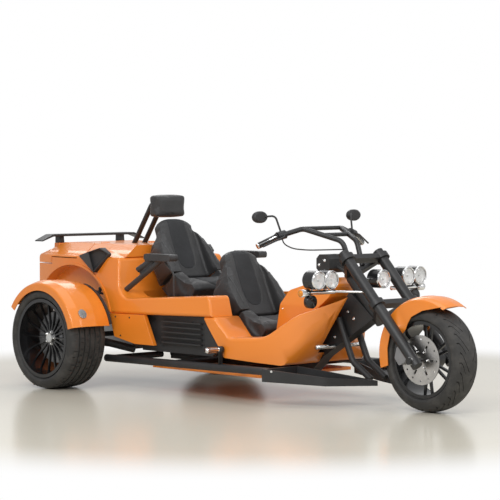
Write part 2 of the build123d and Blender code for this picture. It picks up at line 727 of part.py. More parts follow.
def build_handlebar():
    """Two bent bars from the risers to the grips, tied by two crossbars, with controls and mirrors."""
    bars = []
    grips = []
    controls = []
    mirrors = []
    for side in SIDES.values():
        riser, bend, knee, inner, outer = [
            Vector(*from_axle(point, side)) for point in (RISER, BAR_BEND, BAR_KNEE, GRIP_INNER, GRIP_OUTER)]
        path = FilletPolyline(riser, bend, knee, inner, radius=[BAR_BEND_RADIUS, KNEE_RADIUS])
        bar = sweep(Plane(origin=path @ 0, z_dir=path % 0) * Circle(BAR_DIAMETER / 2), path=path)
        out = (outer - inner).normalized()
        bars.append(bar)
        grips.append(rod(inner + out * GAP * 2, outer, GRIP_DIAMETER) - bar)
        along = (inner - knee).normalized()
        rear = inner - along * CONTROL_LENGTH
        control = rod(rear, inner - along * CONTROL_GAP, CONTROL_DIAMETER)
        hinge = rear + along * CONTROL_LENGTH / 2
        ahead = Vector(LEVER_REACH, 0, 0)
        lever = bent_rod([hinge, hinge + ahead + out * LEVER_DIAMETER, outer + ahead], LEVER_BEND, LEVER_DIAMETER)
        controls.append(control + lever - bar)
        stem_foot = hinge + Vector(0, 0, CONTROL_DIAMETER / 2 - MIRROR_STEM)
        elbow = Vector(*from_axle(MIRROR_ELBOW, side))
        centre = Vector(*from_axle(MIRROR_CENTRE, side))
        stem = bent_rod([stem_foot, elbow, centre], MIRROR_ELBOW_RADIUS, MIRROR_STEM) - control
        head = extrude(Ellipse(MIRROR_WIDTH / 2, MIRROR_HEIGHT / 2), MIRROR_THICKNESS)
        head = chamfer(head.faces().sort_by(Axis.Z)[-1].edges(), MIRROR_THICKNESS / 3)
        mirrors.append(stem + Plane(origin=centre, x_dir=(0, 1, 0), z_dir=(1, 0, 0)) * head)
    bend = Vector(*from_axle(BAR_BEND, 1))
    knee = Vector(*from_axle(BAR_KNEE, 1))
    middle = bend + (knee - bend) * CROSSBAR_SHARE
    frame = bars[0] + bars[1]
    for point in (middle, knee):
        frame += rod((point.X, -point.Y, point.Z), (point.X, point.Y, point.Z), CROSSBAR_DIAMETER)
    frame -= yoke(UPPER_YOKE_AT)
    write("handlebar", frame)
    write("hand_grips", *grips)
    write("hand_controls", *controls)
    write("mirrors", *mirrors)
    route = [from_axle(point, -1) for point in CABLE_ROUTE]
    write("control_cable", cord(route, CABLE_DIAMETER) - controls[0] - bars[0])


def build_lamps():
    """Headlamp, four round lamps on chrome bars, signals and horns on the fork."""
    housings = []
    glasses = []
    spots = [(LAMP_FACE_X, side * y, LAMP_Z)
             for side in SIDES.values() for y in (LAMP_OUTER_Y, LAMP_INNER_Y)]
    spots.append((HEADLAMP_FACE_X, 0, HEADLAMP_Z))
    diameter = LAMP_DIAMETER
    length = LAMP_LENGTH
    glass_radius = LAMP_GLASS_DIAMETER / 2
    for x, y, z in spots:
        body = Plane(origin=(x - length, y, z), z_dir=(1, 0, 0)) * extrude(Circle(diameter / 2), length)
        back = body.faces().sort_by(Axis.X)[0].edges()
        body = chamfer(back, length * LAMP_BACK_SHARE, diameter * LAMP_BACK_SHARE)
        seat = Plane(origin=(x - LAMP_GLASS_DEPTH, y, z), z_dir=(1, 0, 0))
        body -= seat * extrude(Circle(glass_radius), LAMP_GLASS_DEPTH)
        glasses.append(seat * extrude(Circle(glass_radius - GAP / 2), LAMP_GLASS_DEPTH))
        housings.append(body)
    write("lamp_housings", *housings)
    write("lamp_glasses", *glasses)
    bars = []
    signals = []
    for side in SIDES.values():
        inner = (LAMP_BAR_X, side * LAMP_BAR_INNER_Y, LAMP_BAR_Z)
        outer = (LAMP_BAR_X, side * LAMP_BAR_OUTER_Y, LAMP_BAR_Z)
        bar = rod(inner, outer, LAMP_BAR_DIAMETER)
        for y in (LAMP_OUTER_Y, LAMP_INNER_Y):
            top = LAMP_Z - LAMP_DIAMETER / 2
            bar += rod((LAMP_BAR_X, side * y, LAMP_BAR_Z), (LAMP_BAR_X, side * y, top - GAP), LAMP_STAY_DIAMETER)
        leg = fork_point(LOWER_YOKE_AT + YOKE_WIDTH, 0, side * FORK_HALF_SPREAD)
        bar += rod(inner, leg, LAMP_STAY_DIAMETER)
        bar -= fork_leg(side)
        bars.append(bar)
        gap = side * GAP
        start = (LAMP_BAR_X, outer[1] + gap, LAMP_BAR_Z)
        end = (LAMP_BAR_X, outer[1] + side * SIGNAL_LENGTH, LAMP_BAR_Z)
        signals.append(rod(start, end, SIGNAL_DIAMETER))
        horn_z = LAMP_BAR_Z - LAMP_BAR_DIAMETER / 2 - GAP - HORN_DIAMETER / 2
        face = Plane(origin=(LAMP_BAR_X - HORN_DEPTH / 2, side * HORN_Y, horn_z), z_dir=(1, 0, 0))
        signals.append(face * extrude(Circle(HORN_DIAMETER / 2), HORN_DEPTH))
        x = HEADLAMP_FACE_X - LAMP_LENGTH / 2
        near = (x, side * (LAMP_DIAMETER / 2 + BORE_GAP), HEADLAMP_Z)
        bars.append(rod(near, (x, side * FORK_HALF_SPREAD, HEADLAMP_Z), LAMP_STAY_DIAMETER) - fork_leg(side))
    write("lamp_bars", *bars)
    write("signals_and_horns", *signals)
    pod = Pos(POD_X, 0, POD_Z) * Box(POD_LENGTH, POD_WIDTH, POD_HEIGHT)
    pod = chamfer(pod.edges().filter_by(Axis.Y), POD_CORNER)
    arm = rod((POD_X, 0, POD_Z), fork_point(UPPER_YOKE_AT, FORK_OFFSET, 0), POD_ARM_HEIGHT)
    write("dash_pod", pod + arm - yoke(UPPER_YOKE_AT))


def fender_skin(rows, sheet, lips, start, end):
    """A curved skin about the Y axis between two angles, on rows of (y, radius, corner radius)."""
    inside = [(y, radius - sheet, max(corner - sheet, 0)) for y, radius, corner in rows]
    inside[0] = (rows[0][0] + sheet, rows[0][1] - sheet, 0)
    inside[-1] = (rows[-1][0] - sheet, rows[-1][1] - sheet, inside[-1][2])
    near = [(rows[0][0] + sheet, lips[0], 0), (rows[0][0], lips[0], 0)]
    far = [(rows[-1][0], lips[1], 0), (rows[-1][0] - sheet, lips[1], 0)]
    loop = near + rows + far + inside[::-1]
    path = FilletPolyline(*[(radius, y, 0) for y, radius, _ in loop], radius=[corner for _, _, corner in loop], close=True)
    return Rot(0, -end, 0) * revolve(make_face(path), Axis.Y, end - start)


def rear_fender():
    """One rear fender with a banded outer face and a crowned top, over the left wheel."""
    width = REAR_FENDER_OUTER_Y - REAR_FENDER_INNER_Y
    radius = REAR_TYRE_RADIUS + REAR_FENDER_GAP
    rows = [(REAR_FENDER_INNER_Y + along * width, radius + rise * REAR_FENDER_CROWN, corner * REAR_FENDER_CROWN)
            for along, rise, corner in REAR_FENDER_SHARES]
    lips = (radius - SHEET * 2, radius - REAR_FENDER_BAND)
    skin = fender_skin(rows, SHEET, lips, REAR_FENDER_FRONT_ANGLE, REAR_FENDER_REAR_ANGLE)
    return Pos(0, 0, REAR_TYRE_RADIUS) * skin


def front_fender():
    """The fender that steers with the front wheel, with an ear down to each fork leg."""
    half = FENDER_WIDTH / 2
    radius = FRONT_TYRE_RADIUS + FENDER_GAP
    rows = [(half * along, radius + rise * FENDER_CROWN, corner * FENDER_CROWN) for along, rise, corner in FENDER_SHARES]
    deep = FRONT_TYRE_RADIUS * min(share for _, share in FENDER_EDGE_SHARES)
    skin = fender_skin(rows, FENDER_SHEET, (deep, deep), FENDER_FRONT_ANGLE, FENDER_REAR_ANGLE)
    skin = Pos(WHEELBASE + FENDER_FORWARD, 0, FRONT_TYRE_RADIUS + FENDER_RISE) * skin
    edge = [(WHEELBASE, FRONT_TYRE_RADIUS, 0)]
    for angle, share in FENDER_EDGE_SHARES:
        reach = FRONT_TYRE_RADIUS * share
        turn = math.radians(angle)
        edge.append((WHEELBASE + reach * math.cos(turn), FRONT_TYRE_RADIUS + reach * math.sin(turn), FENDER_EDGE_ROUND))
    edge[1] = (edge[1][0], edge[1][1], 0)
    edge[-1] = (edge[-1][0], edge[-1][1], 0)
    edge.append((WHEELBASE, FRONT_TYRE_RADIUS - FRONT_TYRE_RADIUS, 0))
    return skin - rounded_slab(edge, -FENDER_WIDTH, FENDER_WIDTH)


def build_fenders():
    """Rear fenders over the wide tyres and the fender that steers with the front wheel."""
    fender = rear_fender()
    write("rear_fenders", mirror(fender, about=Plane.XZ), fender)
    skin = front_fender()
    for side in SIDES.values():
        x, y, z = fork_point(FENDER_BOSS_AT, 0, side * (FENDER_WIDTH / 2 - FENDER_SHEET))
        reach = FORK_HALF_SPREAD - FORK_LEG_DIAMETER / 2 - BORE_GAP - FENDER_WIDTH / 2 + FENDER_SHEET
        skin += Plane(origin=(x, y, z), z_dir=(0, side, 0)) * extrude(Circle(FENDER_BOSS_DIAMETER / 2), reach)
    write("front_fender", skin)
    discs = []
    for side in SIDES.values():
        turn = math.radians(REFLECTOR_ANGLE)
        reach = REAR_TYRE_RADIUS + REAR_FENDER_GAP + REAR_FENDER_CROWN
        out = (math.cos(turn), 0, math.sin(turn))
        face = Plane(origin=(reach * out[0], side * REFLECTOR_Y, REAR_TYRE_RADIUS + reach * out[2]), z_dir=out)
        disc = face * extrude(Circle(REFLECTOR_DIAMETER / 2), REFLECTOR_DEPTH, both=True)
        hollow = fender if side > 0 else mirror(fender, about=Plane.XZ)
        pieces = (disc - hollow).solids().sort_by(SortBy.DISTANCE)
        discs.append(pieces[-1])
    write("fender_reflectors", *discs)


def soften(hull, radius, up_share):
    """Round the side edges of the faces that look upward by more than a share."""
    rim = []
    for face in hull.faces():
        if face.normal_at().Z > up_share:
            rim += [edge for edge in face.edges() if abs(edge.center().Y) > SPINE_HALF_WIDTH]
    return fillet(rim, radius)


def section(x, low, top, low_z, top_z):
    """One cross-section of a body: wide below, narrower above."""
    points = [(x, -low, low_z), (x, -top, top_z), (x, top, top_z), (x, low, low_z)]
    return make_face(Polyline(*points, close=True))


def rear_hull(margin):
    """The outer form of the rear body before anything is cut from it, grown sideways by a margin."""
    stations = (
        (TAIL_X, TAIL_HALF_WIDTH, TAIL_HALF_WIDTH),
        (TAIL_STATION_X, TAIL_STATION_HALF_WIDTH, TAIL_STATION_HALF_WIDTH),
        (HIP_X, HIP_HALF_WIDTH, HIP_TOP_HALF_WIDTH),
        (UPPER_BODY_FRONT_X, SIDE_FRONT_HALF_WIDTH, HIP_TOP_HALF_WIDTH),
    )
    base = loft([section(x, low + margin, top + margin, TAIL_LOW_Z, DECK_Z) for x, low, top in stations])
    outline = rounded_slab([
        (TAIL_X, TAIL_LOW_Z, 0),
        (TAIL_X, SHELF_Z, TAIL_ROUND),
        (DECK_FRONT_X, SHELF_Z, SHELF_ROUND),
        (REAR_BODY_FRONT_X, LEDGE_REAR_Z, SWEEP_ROUND),
        (LEDGE_FRONT_X, LEDGE_FRONT_Z, TAIL_ROUND),
        (UPPER_BODY_FRONT_X, WAIST_FRONT_Z, 0),
        (SIDE_PANEL_REAR_X, WAIST_Z, 0),
    ], -HIP_HALF_WIDTH - OVERRUN, HIP_HALF_WIDTH + OVERRUN)
    lower = section_plan(DECK_BASE_REAR_X, DECK_FRONT_X, DECK_BASE_HALF_WIDTH, SHELF_Z)
    upper = section_plan(DECK_REAR_X, DECK_FRONT_X, DECK_HALF_WIDTH, DECK_Z)
    deck = loft([lower, upper], ruled=True)
    return soften(base & outline, LEDGE_ROUND, LEDGE_UP_SHARE) + deck


def section_plan(x_from, x_to, half, z):
    """A level rectangle of the raised deck."""
    return make_face(Polyline((x_from, -half, z), (x_to, -half, z), (x_to, half, z), (x_from, half, z), close=True))


def lid_region(margin):
    """The stepped space that the lid takes up, grown by the seam."""
    wide = HIP_HALF_WIDTH + OVERRUN
    return slab([
        (TAIL_X - OVERRUN, LID_LOW_Z - margin),
        (LID_STEP_X + margin, LID_LOW_Z - margin),
        (LID_STEP_X + margin, SHELF_Z - LID_THICKNESS - margin),
        (LID_FRONT_X + margin, SHELF_Z - LID_THICKNESS - margin),
        (LID_FRONT_X + margin, DECK_Z + OVERRUN),
        (TAIL_X - OVERRUN, DECK_Z + OVERRUN),
    ], -wide, wide)


def hinge_barrel(y, radius, length):
    """One barrel of the lid's hinge, on the axis at the lid's front edge."""
    return Pos(LID_FRONT_X + LID_SEAM / 2, 0, DECK_Z) * axle_cylinder(radius, y - length / 2, y + length / 2)


def arch_form(radius, ends):
    """The round opening over one rear wheel, run down past the body's lower edge."""
    arch = Pos(ARCH_X, 0, ARCH_Z) * axle_cylinder(radius, *ends)
    return arch & block(TAIL_X - radius, ARCH_X + radius, *ends, TAIL_LOW_Z - OVERRUN, DECK_Z)


def support(side, width, top_z):
    """A tapered foot of the spoiler on one side, from the shelf up to a height."""
    y = side * SPOILER_SUPPORT_Y
    rear = SPOILER_REAR_X + OVERRUN / 2
    foot = section_plan(rear, rear + SPOILER_SUPPORT_CHORD, width / 2, SHELF_Z)
    top = section_plan(rear, rear + SPOILER_SUPPORT_CHORD * SUPPORT_TAPER_SHARE, width / 2 * SUPPORT_TAPER_SHARE, top_z)
    return Pos(0, y, 0) * loft([foot, top], ruled=True)


def build_rear_body():
    """Rear body with hollow load space, wheel arches with rolled lips and seat well, and its lid."""
    hull = rear_hull(0)
    body = hull - lid_region(LID_SEAM)
    body -= block(TRUNK_REAR_X, TRUNK_FRONT_X, -TRUNK_HALF_WIDTH, TRUNK_HALF_WIDTH,
                  TRUNK_FLOOR_Z, SHELF_Z - LID_THICKNESS)
    body -= block(TRUNK_REAR_X, ENGINE_BAY_FRONT_X - PANEL, -ENGINE_BAY_HALF_WIDTH, ENGINE_BAY_HALF_WIDTH,
                  TAIL_LOW_Z - OVERRUN, TRUNK_FLOOR_Z - PANEL)
    body -= block(REAR_BODY_FRONT_X + PANEL, UPPER_BODY_FRONT_X + OVERRUN, -WELL_HALF_WIDTH, WELL_HALF_WIDTH,
                  TAIL_LOW_Z - OVERRUN, SHELF_Z)
    lip_form = rear_hull(ARCH_LIP_PROUD) - lid_region(LID_SEAM)
    for side in SIDES.values():
        ends = between(side, ARCH_DEPTH_Y, HIP_HALF_WIDTH + OVERRUN)
        ring = arch_form(ARCH_RADIUS + ARCH_LIP, between(side, LIP_INNER_Y, HIP_HALF_WIDTH + OVERRUN))
        body += ring & lip_form
        body -= arch_form(ARCH_RADIUS, ends)
        face = Plane(origin=(TAIL_X, side * TAIL_LAMP_Y, TAIL_LAMP_Z), z_dir=(1, 0, 0))
        body -= face * extrude(Circle(TAIL_LAMP_DIAMETER / 2 + GAP), TAIL_LAMP_DEPTH + GAP)
    for y in (-HINGE_Y, HINGE_Y):
        body -= hinge_barrel(y, HINGE_RADIUS + BORE_GAP, HINGE_LENGTH + BORE_GAP * 2)
    write("rear_body", body)
    shell = hull & lid_region(0)
    hollow = block(TAIL_X + LID_INSET, LID_FRONT_X - LID_INSET, -TRUNK_HALF_WIDTH, TRUNK_HALF_WIDTH,
                   LID_LOW_Z - OVERRUN, SHELF_Z - LID_THICKNESS + SHEET)
    lower = section_plan(DECK_BASE_REAR_X + LID_INSET, LID_FRONT_X - LID_INSET, DECK_BASE_HALF_WIDTH - LID_INSET * 2,
                         SHELF_Z - LID_THICKNESS)
    upper = section_plan(DECK_REAR_X, LID_FRONT_X - LID_INSET, DECK_HALF_WIDTH - LID_INSET, DECK_Z - LID_THICKNESS)
    hollow += loft([lower, upper], ruled=True)
    pocket_z = LID_LOW_Z + LATCH_HEIGHT
    pocket = block(TAIL_X - OVERRUN, TAIL_X + LATCH_DEPTH, -LATCH_WIDTH / 2, LATCH_WIDTH / 2,
                   pocket_z, pocket_z + LATCH_HEIGHT)
    handle = block(TAIL_X, TAIL_X + LATCH_DEPTH, -LATCH_WIDTH / 2, LATCH_WIDTH / 2,
                   pocket_z + LATCH_HEIGHT * LATCH_BAR_SHARE, pocket_z + LATCH_HEIGHT)
    lid = shell - hollow - pocket + handle
    for y in (-HINGE_Y, HINGE_Y):
        lid += hinge_barrel(y, HINGE_RADIUS, HINGE_LENGTH)
    for side in SIDES.values():
        lid += support(side, PEDESTAL_WIDTH, PEDESTAL_TOP_Z)
    write("trunk_lid", lid - hollow)


def build_spoiler():
    """A wing across the tail on two black supports that stand on the lid's own feet."""
    half = SPOILER_THICKNESS / 2
    flat = SPOILER_TIP_START_Y
    tip = SPOILER_HALF_WIDTH
    low = SPOILER_Z - SPOILER_TIP_DROP
    outline = [(-tip, low, 0), (-tip, low + half, 0), (-flat, SPOILER_Z + half, TIP_ROUND),
               (flat, SPOILER_Z + half, TIP_ROUND), (tip, low + half, 0), (tip, low, 0),
               (flat, SPOILER_Z - half, TIP_ROUND), (-flat, SPOILER_Z - half, TIP_ROUND)]
    wing = rounded_across(outline, SPOILER_REAR_X, SPOILER_REAR_X + SPOILER_CHORD)
    for side in SIDES.values():
        upper = support(side, SPOILER_SUPPORT_WIDTH, SPOILER_Z)
        wing += upper - block(SPOILER_REAR_X, HIP_X, *between(side, 0, tip), SHELF_Z, PEDESTAL_TOP_Z + GAP)
    write("spoiler", wing)


def build_scoops():
    """Five-sided air scoops that widen from the flanks and open to the front."""
    scoops = []
    hull = rear_hull(0)
    outline = [(SCOOP_REAR_X, SCOOP_REAR_Z), (SCOOP_CREST_X, SCOOP_CREST_Z), (SCOOP_APEX_X, SCOOP_APEX_Z),
               (SCOOP_FRONT_X, SCOOP_FRONT_Z), (SCOOP_LOW_X, SCOOP_LOW_Z)]
    for side in SIDES.values():
        form = slab(outline, *between(side, SCOOP_INNER_Y, SCOOP_OUTER_Y))
        plan = [(SCOOP_REAR_X, side * SCOOP_REAR_Y), (SCOOP_APEX_X, side * SCOOP_OUTER_Y),
                (SCOOP_FRONT_X, side * SCOOP_OUTER_Y), (SCOOP_FRONT_X, side * SCOOP_INNER_Y),
                (SCOOP_REAR_X, side * SCOOP_INNER_Y)]
        floor = make_face(Polyline(*[(x, y, SCOOP_LOW_Z) for x, y in plan], close=True))
        form &= extrude(floor, SCOOP_APEX_Z - SCOOP_LOW_Z, dir=(0, 0, 1))
        inset = offset(make_face(Polyline(*[(x, 0, z) for x, z in outline], close=True)), -SCOOP_WALL)
        near, far = between(side, SCOOP_INNER_Y + SCOOP_WALL, SCOOP_OUTER_Y - SCOOP_WALL)
        duct = Pos(0, near, 0) * extrude(inset, far - near, dir=(0, 1, 0))
        duct += Pos(SCOOP_WALL * 3, 0, 0) * duct
        duct &= block(SCOOP_CREST_X, SCOOP_FRONT_X + OVERRUN, near, far, SCOOP_LOW_Z, SCOOP_APEX_Z)
        scoops.append(form - duct - hull)
    write("air_scoops", *scoops)


def build_nose():
    """The front body: ledges beside the seat that run together toward the steering head."""
    low_z = NOSE_LOW_Z - OVERRUN
    top_z = TANK_TOP_Z
    stations = (
        (NOSE_REAR_TOP_X - OVERRUN, SIDE_FRONT_HALF_WIDTH, SIDE_FRONT_HALF_WIDTH),
        (NOSE_DIP_X, SIDE_FRONT_HALF_WIDTH - PANEL * 2, SIDE_FRONT_HALF_WIDTH - NOSE_TUMBLE),
        (NOSE_LOW_X, NOSE_LOW_HALF_WIDTH, NOSE_RIDGE_HALF_WIDTH),
        (NOSE_TIP_X, NOSE_TIP_HALF_WIDTH, NOSE_TIP_TOP_HALF_WIDTH),
    )
    hull = loft([section(x, low, top, low_z, top_z) for x, low, top in stations])
    hull &= rounded_slab([
        (NOSE_REAR_TOP_X, waist_z(NOSE_REAR_TOP_X) - SEAT_GAP, 0),
        (NOSE_SEAT_X, waist_z(NOSE_SEAT_X) - SEAT_GAP, NOSE_ROUND),
        (NOSE_DIP_X, NOSE_DIP_Z, NOSE_ROUND),
        (NOSE_RISE_X, NOSE_RISE_Z, NOSE_SWEEP),
        (NOSE_RIDGE_X, NOSE_RIDGE_Z, NOSE_SWEEP),
        (NOSE_TIP_X, NOSE_TIP_Z, 0),
        (NOSE_LOW_X, NOSE_LOW_Z, NOSE_ROUND),
        (NOSE_HEEL_X, NOSE_HEEL_Z, NOSE_ROUND / 2),
        (NOSE_REAR_LOW_X, NOSE_REAR_LOW_Z, 0),
    ], -HIP_HALF_WIDTH, HIP_HALF_WIDTH)
    hull = soften(hull, NOSE_EDGE, NOSE_UP_SHARE)
    cut_front = NOSE_TIP_X + OVERRUN
    hull -= block(NOSE_REAR_TOP_X - OVERRUN, COCKPIT_FRONT_X, -COCKPIT_HALF_WIDTH, COCKPIT_HALF_WIDTH,
                  COCKPIT_FLOOR_Z, top_z)
    hull -= block(COCKPIT_FRONT_X - OVERRUN, cut_front, -CHANNEL_HALF_WIDTH, CHANNEL_HALF_WIDTH,
                  COCKPIT_FLOOR_Z, top_z)
    hull -= block(NOSE_REAR_TOP_X - OVERRUN, cut_front, -SPINE_HALF_WIDTH - GAP, SPINE_HALF_WIDTH + GAP,
                  low_z - OVERRUN, COCKPIT_FLOOR_Z + GAP)
    tank_cut = tank_form(GAP)
    write("nose_body", *sorted((hull - tank_cut).solids(), key=lambda solid: solid.center().Y))


def tank_form(margin):
    """The tank cover's rounded solid, grown by a margin for the space it sits in."""
    outline = rounded_slab([
        (TANK_REAR_X - margin, TANK_LOW_Z - margin, 0),
        (TANK_KNEE_X - margin, TANK_KNEE_Z, TANK_ROUND),
        (TANK_SHOULDER_X - margin, TANK_SHOULDER_Z + margin, TANK_ROUND),
        (TANK_TOP_X, TANK_TOP_Z + margin, TANK_ROUND),
        (TANK_NOSE_X + margin, TANK_NOSE_Z, TANK_ROUND / 2),
        (TANK_CHIN_X + margin, TANK_CHIN_Z - margin, TANK_ROUND / 2),
        (TANK_BELLY_X, TANK_LOW_Z - margin, 0),
    ], -TANK_HALF_WIDTH - OVERRUN, TANK_HALF_WIDTH + OVERRUN)
    low = TANK_HALF_WIDTH + margin
    top = TANK_TOP_HALF_WIDTH + margin
    crown = TANK_TOP_Z + OVERRUN
    return outline & rounded_across([
        (-low, TANK_LOW_Z - OVERRUN, 0),
        (-low, TANK_KNEE_Z, TANK_ROUND * 2),
        (-top, crown, TANK_ROUND),
        (top, crown, TANK_ROUND),
        (low, TANK_KNEE_Z, TANK_ROUND * 2),
        (low, TANK_LOW_Z - OVERRUN, 0),
    ], TANK_REAR_X - OVERRUN, TANK_NOSE_X + OVERRUN)


def build_tank():
    """Cover over the tank, in the channel of the nose body."""
    write("tank_cover", tank_form(0))


def waist_z(x):
    """Height of the waist seam at one station."""
    share = (x - SIDE_PANEL_REAR_X) / (UPPER_BODY_FRONT_X - SIDE_PANEL_REAR_X)
    return WAIST_Z + share * (WAIST_FRONT_Z - WAIST_Z)


def build_flanks():
    """Small lower panels behind the intakes, and the dark louvred intakes."""
    panels = []
    intakes = []
    for side in SIDES.values():
        outer = side * HIP_HALF_WIDTH
        inner = side * (HIP_HALF_WIDTH - SIDE_PANEL_THICKNESS)
        ends = sorted((outer, inner))
        panels.append(slab([
            (SIDE_PANEL_REAR_X, waist_z(SIDE_PANEL_REAR_X) - SEAT_GAP),
            (SIDE_PANEL_FRONT_X, waist_z(SIDE_PANEL_FRONT_X) - SEAT_GAP),
            (SIDE_PANEL_LOW_FRONT_X, SIDE_PANEL_LOW_Z),
            (SIDE_PANEL_LOW_X, SIDE_PANEL_LOW_Z),
            (SIDE_PANEL_HEEL_X, SIDE_PANEL_HEEL_Z),
        ], ends[0], ends[1]))
        liner_ends = sorted((side * INTAKE_INNER_Y, side * (INTAKE_INNER_Y + INTAKE_FRAME)))
        plate = slab([
            (SIDE_PANEL_LOW_X, waist_z(SIDE_PANEL_LOW_X) - SEAT_GAP),
            (NOSE_REAR_TOP_X - SEAT_GAP * 2, waist_z(NOSE_REAR_TOP_X) - SEAT_GAP),
            (NOSE_REAR_LOW_X - SEAT_GAP * 2, NOSE_REAR_LOW_Z),
            (NOSE_REAR_LOW_X - INTAKE_FRAME * 3, NOSE_HEEL_Z),
            (SIDE_PANEL_LOW_X, NOSE_HEEL_Z),
        ], liner_ends[0], liner_ends[1])
        step = (WAIST_Z - NOSE_REAR_LOW_Z) / INTAKE_LOUVRES
        for louvre in range(INTAKE_LOUVRES):
            z = NOSE_REAR_LOW_Z + louvre * step
            rib_ends = sorted((side * INTAKE_INNER_Y, side * (INTAKE_INNER_Y + INTAKE_FRAME * 2)))
            plate += block(SIDE_PANEL_LOW_FRONT_X + INTAKE_FRAME, NOSE_REAR_TOP_X - INTAKE_FRAME, rib_ends[0],
                           rib_ends[1], z, z + LOUVRE_THICKNESS)
        intakes.append(plate)
    write("flank_panels", *panels)
    write("flank_intakes", *intakes)


def side_rail(side):
    """The step rail along one flank."""
    y = side * RAIL_Y
    return rod((RAIL_REAR_X, y, RAIL_Z), (BOARD_REAR_X - SEAT_GAP, y, RAIL_FRONT_Z), RAIL_DIAMETER)


def build_frame():
    """Spine with steering head, side rails, down tubes and footboards."""
    head_low = fork_point(LOWER_YOKE_AT + YOKE_THICKNESS / 2 + GAP, FORK_OFFSET, 0)
    head_top = fork_point(UPPER_YOKE_AT - YOKE_THICKNESS / 2 - GAP, FORK_OFFSET, 0)
    spine = slab([
        (SPINE_REAR_X, SPINE_FLOOR_Z),
        (SPINE_REAR_X, SPINE_TOP_Z),
        (SPINE_BEND_X - OVERRUN, SPINE_TOP_Z),
        (TANK_BELLY_X + PANEL * 2, TANK_LOW_Z - OVERRUN * 4),
        (TANK_CHIN_X + OVERRUN, TANK_CHIN_Z - OVERRUN * 3),
        (head_top[0] + OVERRUN, head_top[2] - OVERRUN * 4),
        (head_low[0], head_low[2]),
        (NOSE_LOW_X + OVERRUN * 2, NOSE_LOW_Z + OVERRUN * 2),
        (SPINE_BEND_X + OVERRUN * 2, SPINE_FLOOR_Z),
    ], -SPINE_HALF_WIDTH, SPINE_HALF_WIDTH)
    spine += rod(head_low, head_top, HEAD_DIAMETER)
    bore_low = fork_point(LOWER_YOKE_AT, FORK_OFFSET, 0)
    bore_top = fork_point(UPPER_YOKE_AT, FORK_OFFSET, 0)
    spine -= rod(bore_low, bore_top, STEM_DIAMETER + BORE_GAP * 2)
    write("frame_spine", spine)
    rails = None
    for side in SIDES.values():
        y = side * RAIL_Y
        rail = side_rail(side)
        rails = rail if rails is None else rails + rail
        for share in CROSS_SHARES:
            x = RAIL_REAR_X + share * (BOARD_REAR_X - RAIL_REAR_X)
            z = RAIL_Z + share * (RAIL_FRONT_Z - RAIL_Z)
            inner = side * (SPINE_HALF_WIDTH + GAP)
            rails += rod((x, inner, z), (x, y, z), CROSS_DIAMETER)
    write("frame_rails", *rails.solids())
    tubes = []
    for side in SIDES.values():
        y = side * (SPINE_HALF_WIDTH + DOWN_TUBE_DIAMETER / 2 + BORE_GAP)
        points = [(WHEELBASE - back, y, z) for back, z in (DOWN_TUBE_TOP, DOWN_TUBE_BEND, DOWN_TUBE_END)]
        tubes.append(bent_rod(points, DOWN_TUBE_BEND_RADIUS, DOWN_TUBE_DIAMETER))
    write("down_tubes", *tubes)
    boards = []
    for side in SIDES.values():
        loop = [(BOARD_REAR_X, side * BOARD_OUTER_Y), (BOARD_MID_X, side * BOARD_MID_Y),
                (BOARD_NOSE_X, side * BOARD_NOSE_Y), (BOARD_REAR_X, side * BOARD_INNER_Y)]
        plan = make_face(FilletPolyline(*[(x, y, 0) for x, y in loop], radius=[0, BOARD_ROUND, 0, 0], close=True))
        column = extrude(plan, BOARD_REAR_TOP_Z + OVERRUN, dir=(0, 0, 1))
        wedge = slab([(BOARD_REAR_X, BOARD_REAR_LOW_Z), (BOARD_REAR_X, BOARD_REAR_TOP_Z),
                      (BOARD_NOSE_X, BOARD_NOSE_TOP_Z), (BOARD_NOSE_X, BOARD_NOSE_LOW_Z),
                      (BOARD_MID_X, BOARD_MID_LOW_Z)], -BOARD_OUTER_Y, BOARD_OUTER_Y)
        well = extrude(offset(plan, -PANEL), BOARD_REAR_TOP_Z + OVERRUN, dir=(0, 0, 1))
        well &= Pos(0, 0, PANEL) * wedge
        well += Pos(0, 0, BOARD_REAR_TOP_Z - BOARD_REAR_LOW_Z) * well
        boards.append((column & wedge) - well - tubes[0] - tubes[1])
    write("footboards", *boards)


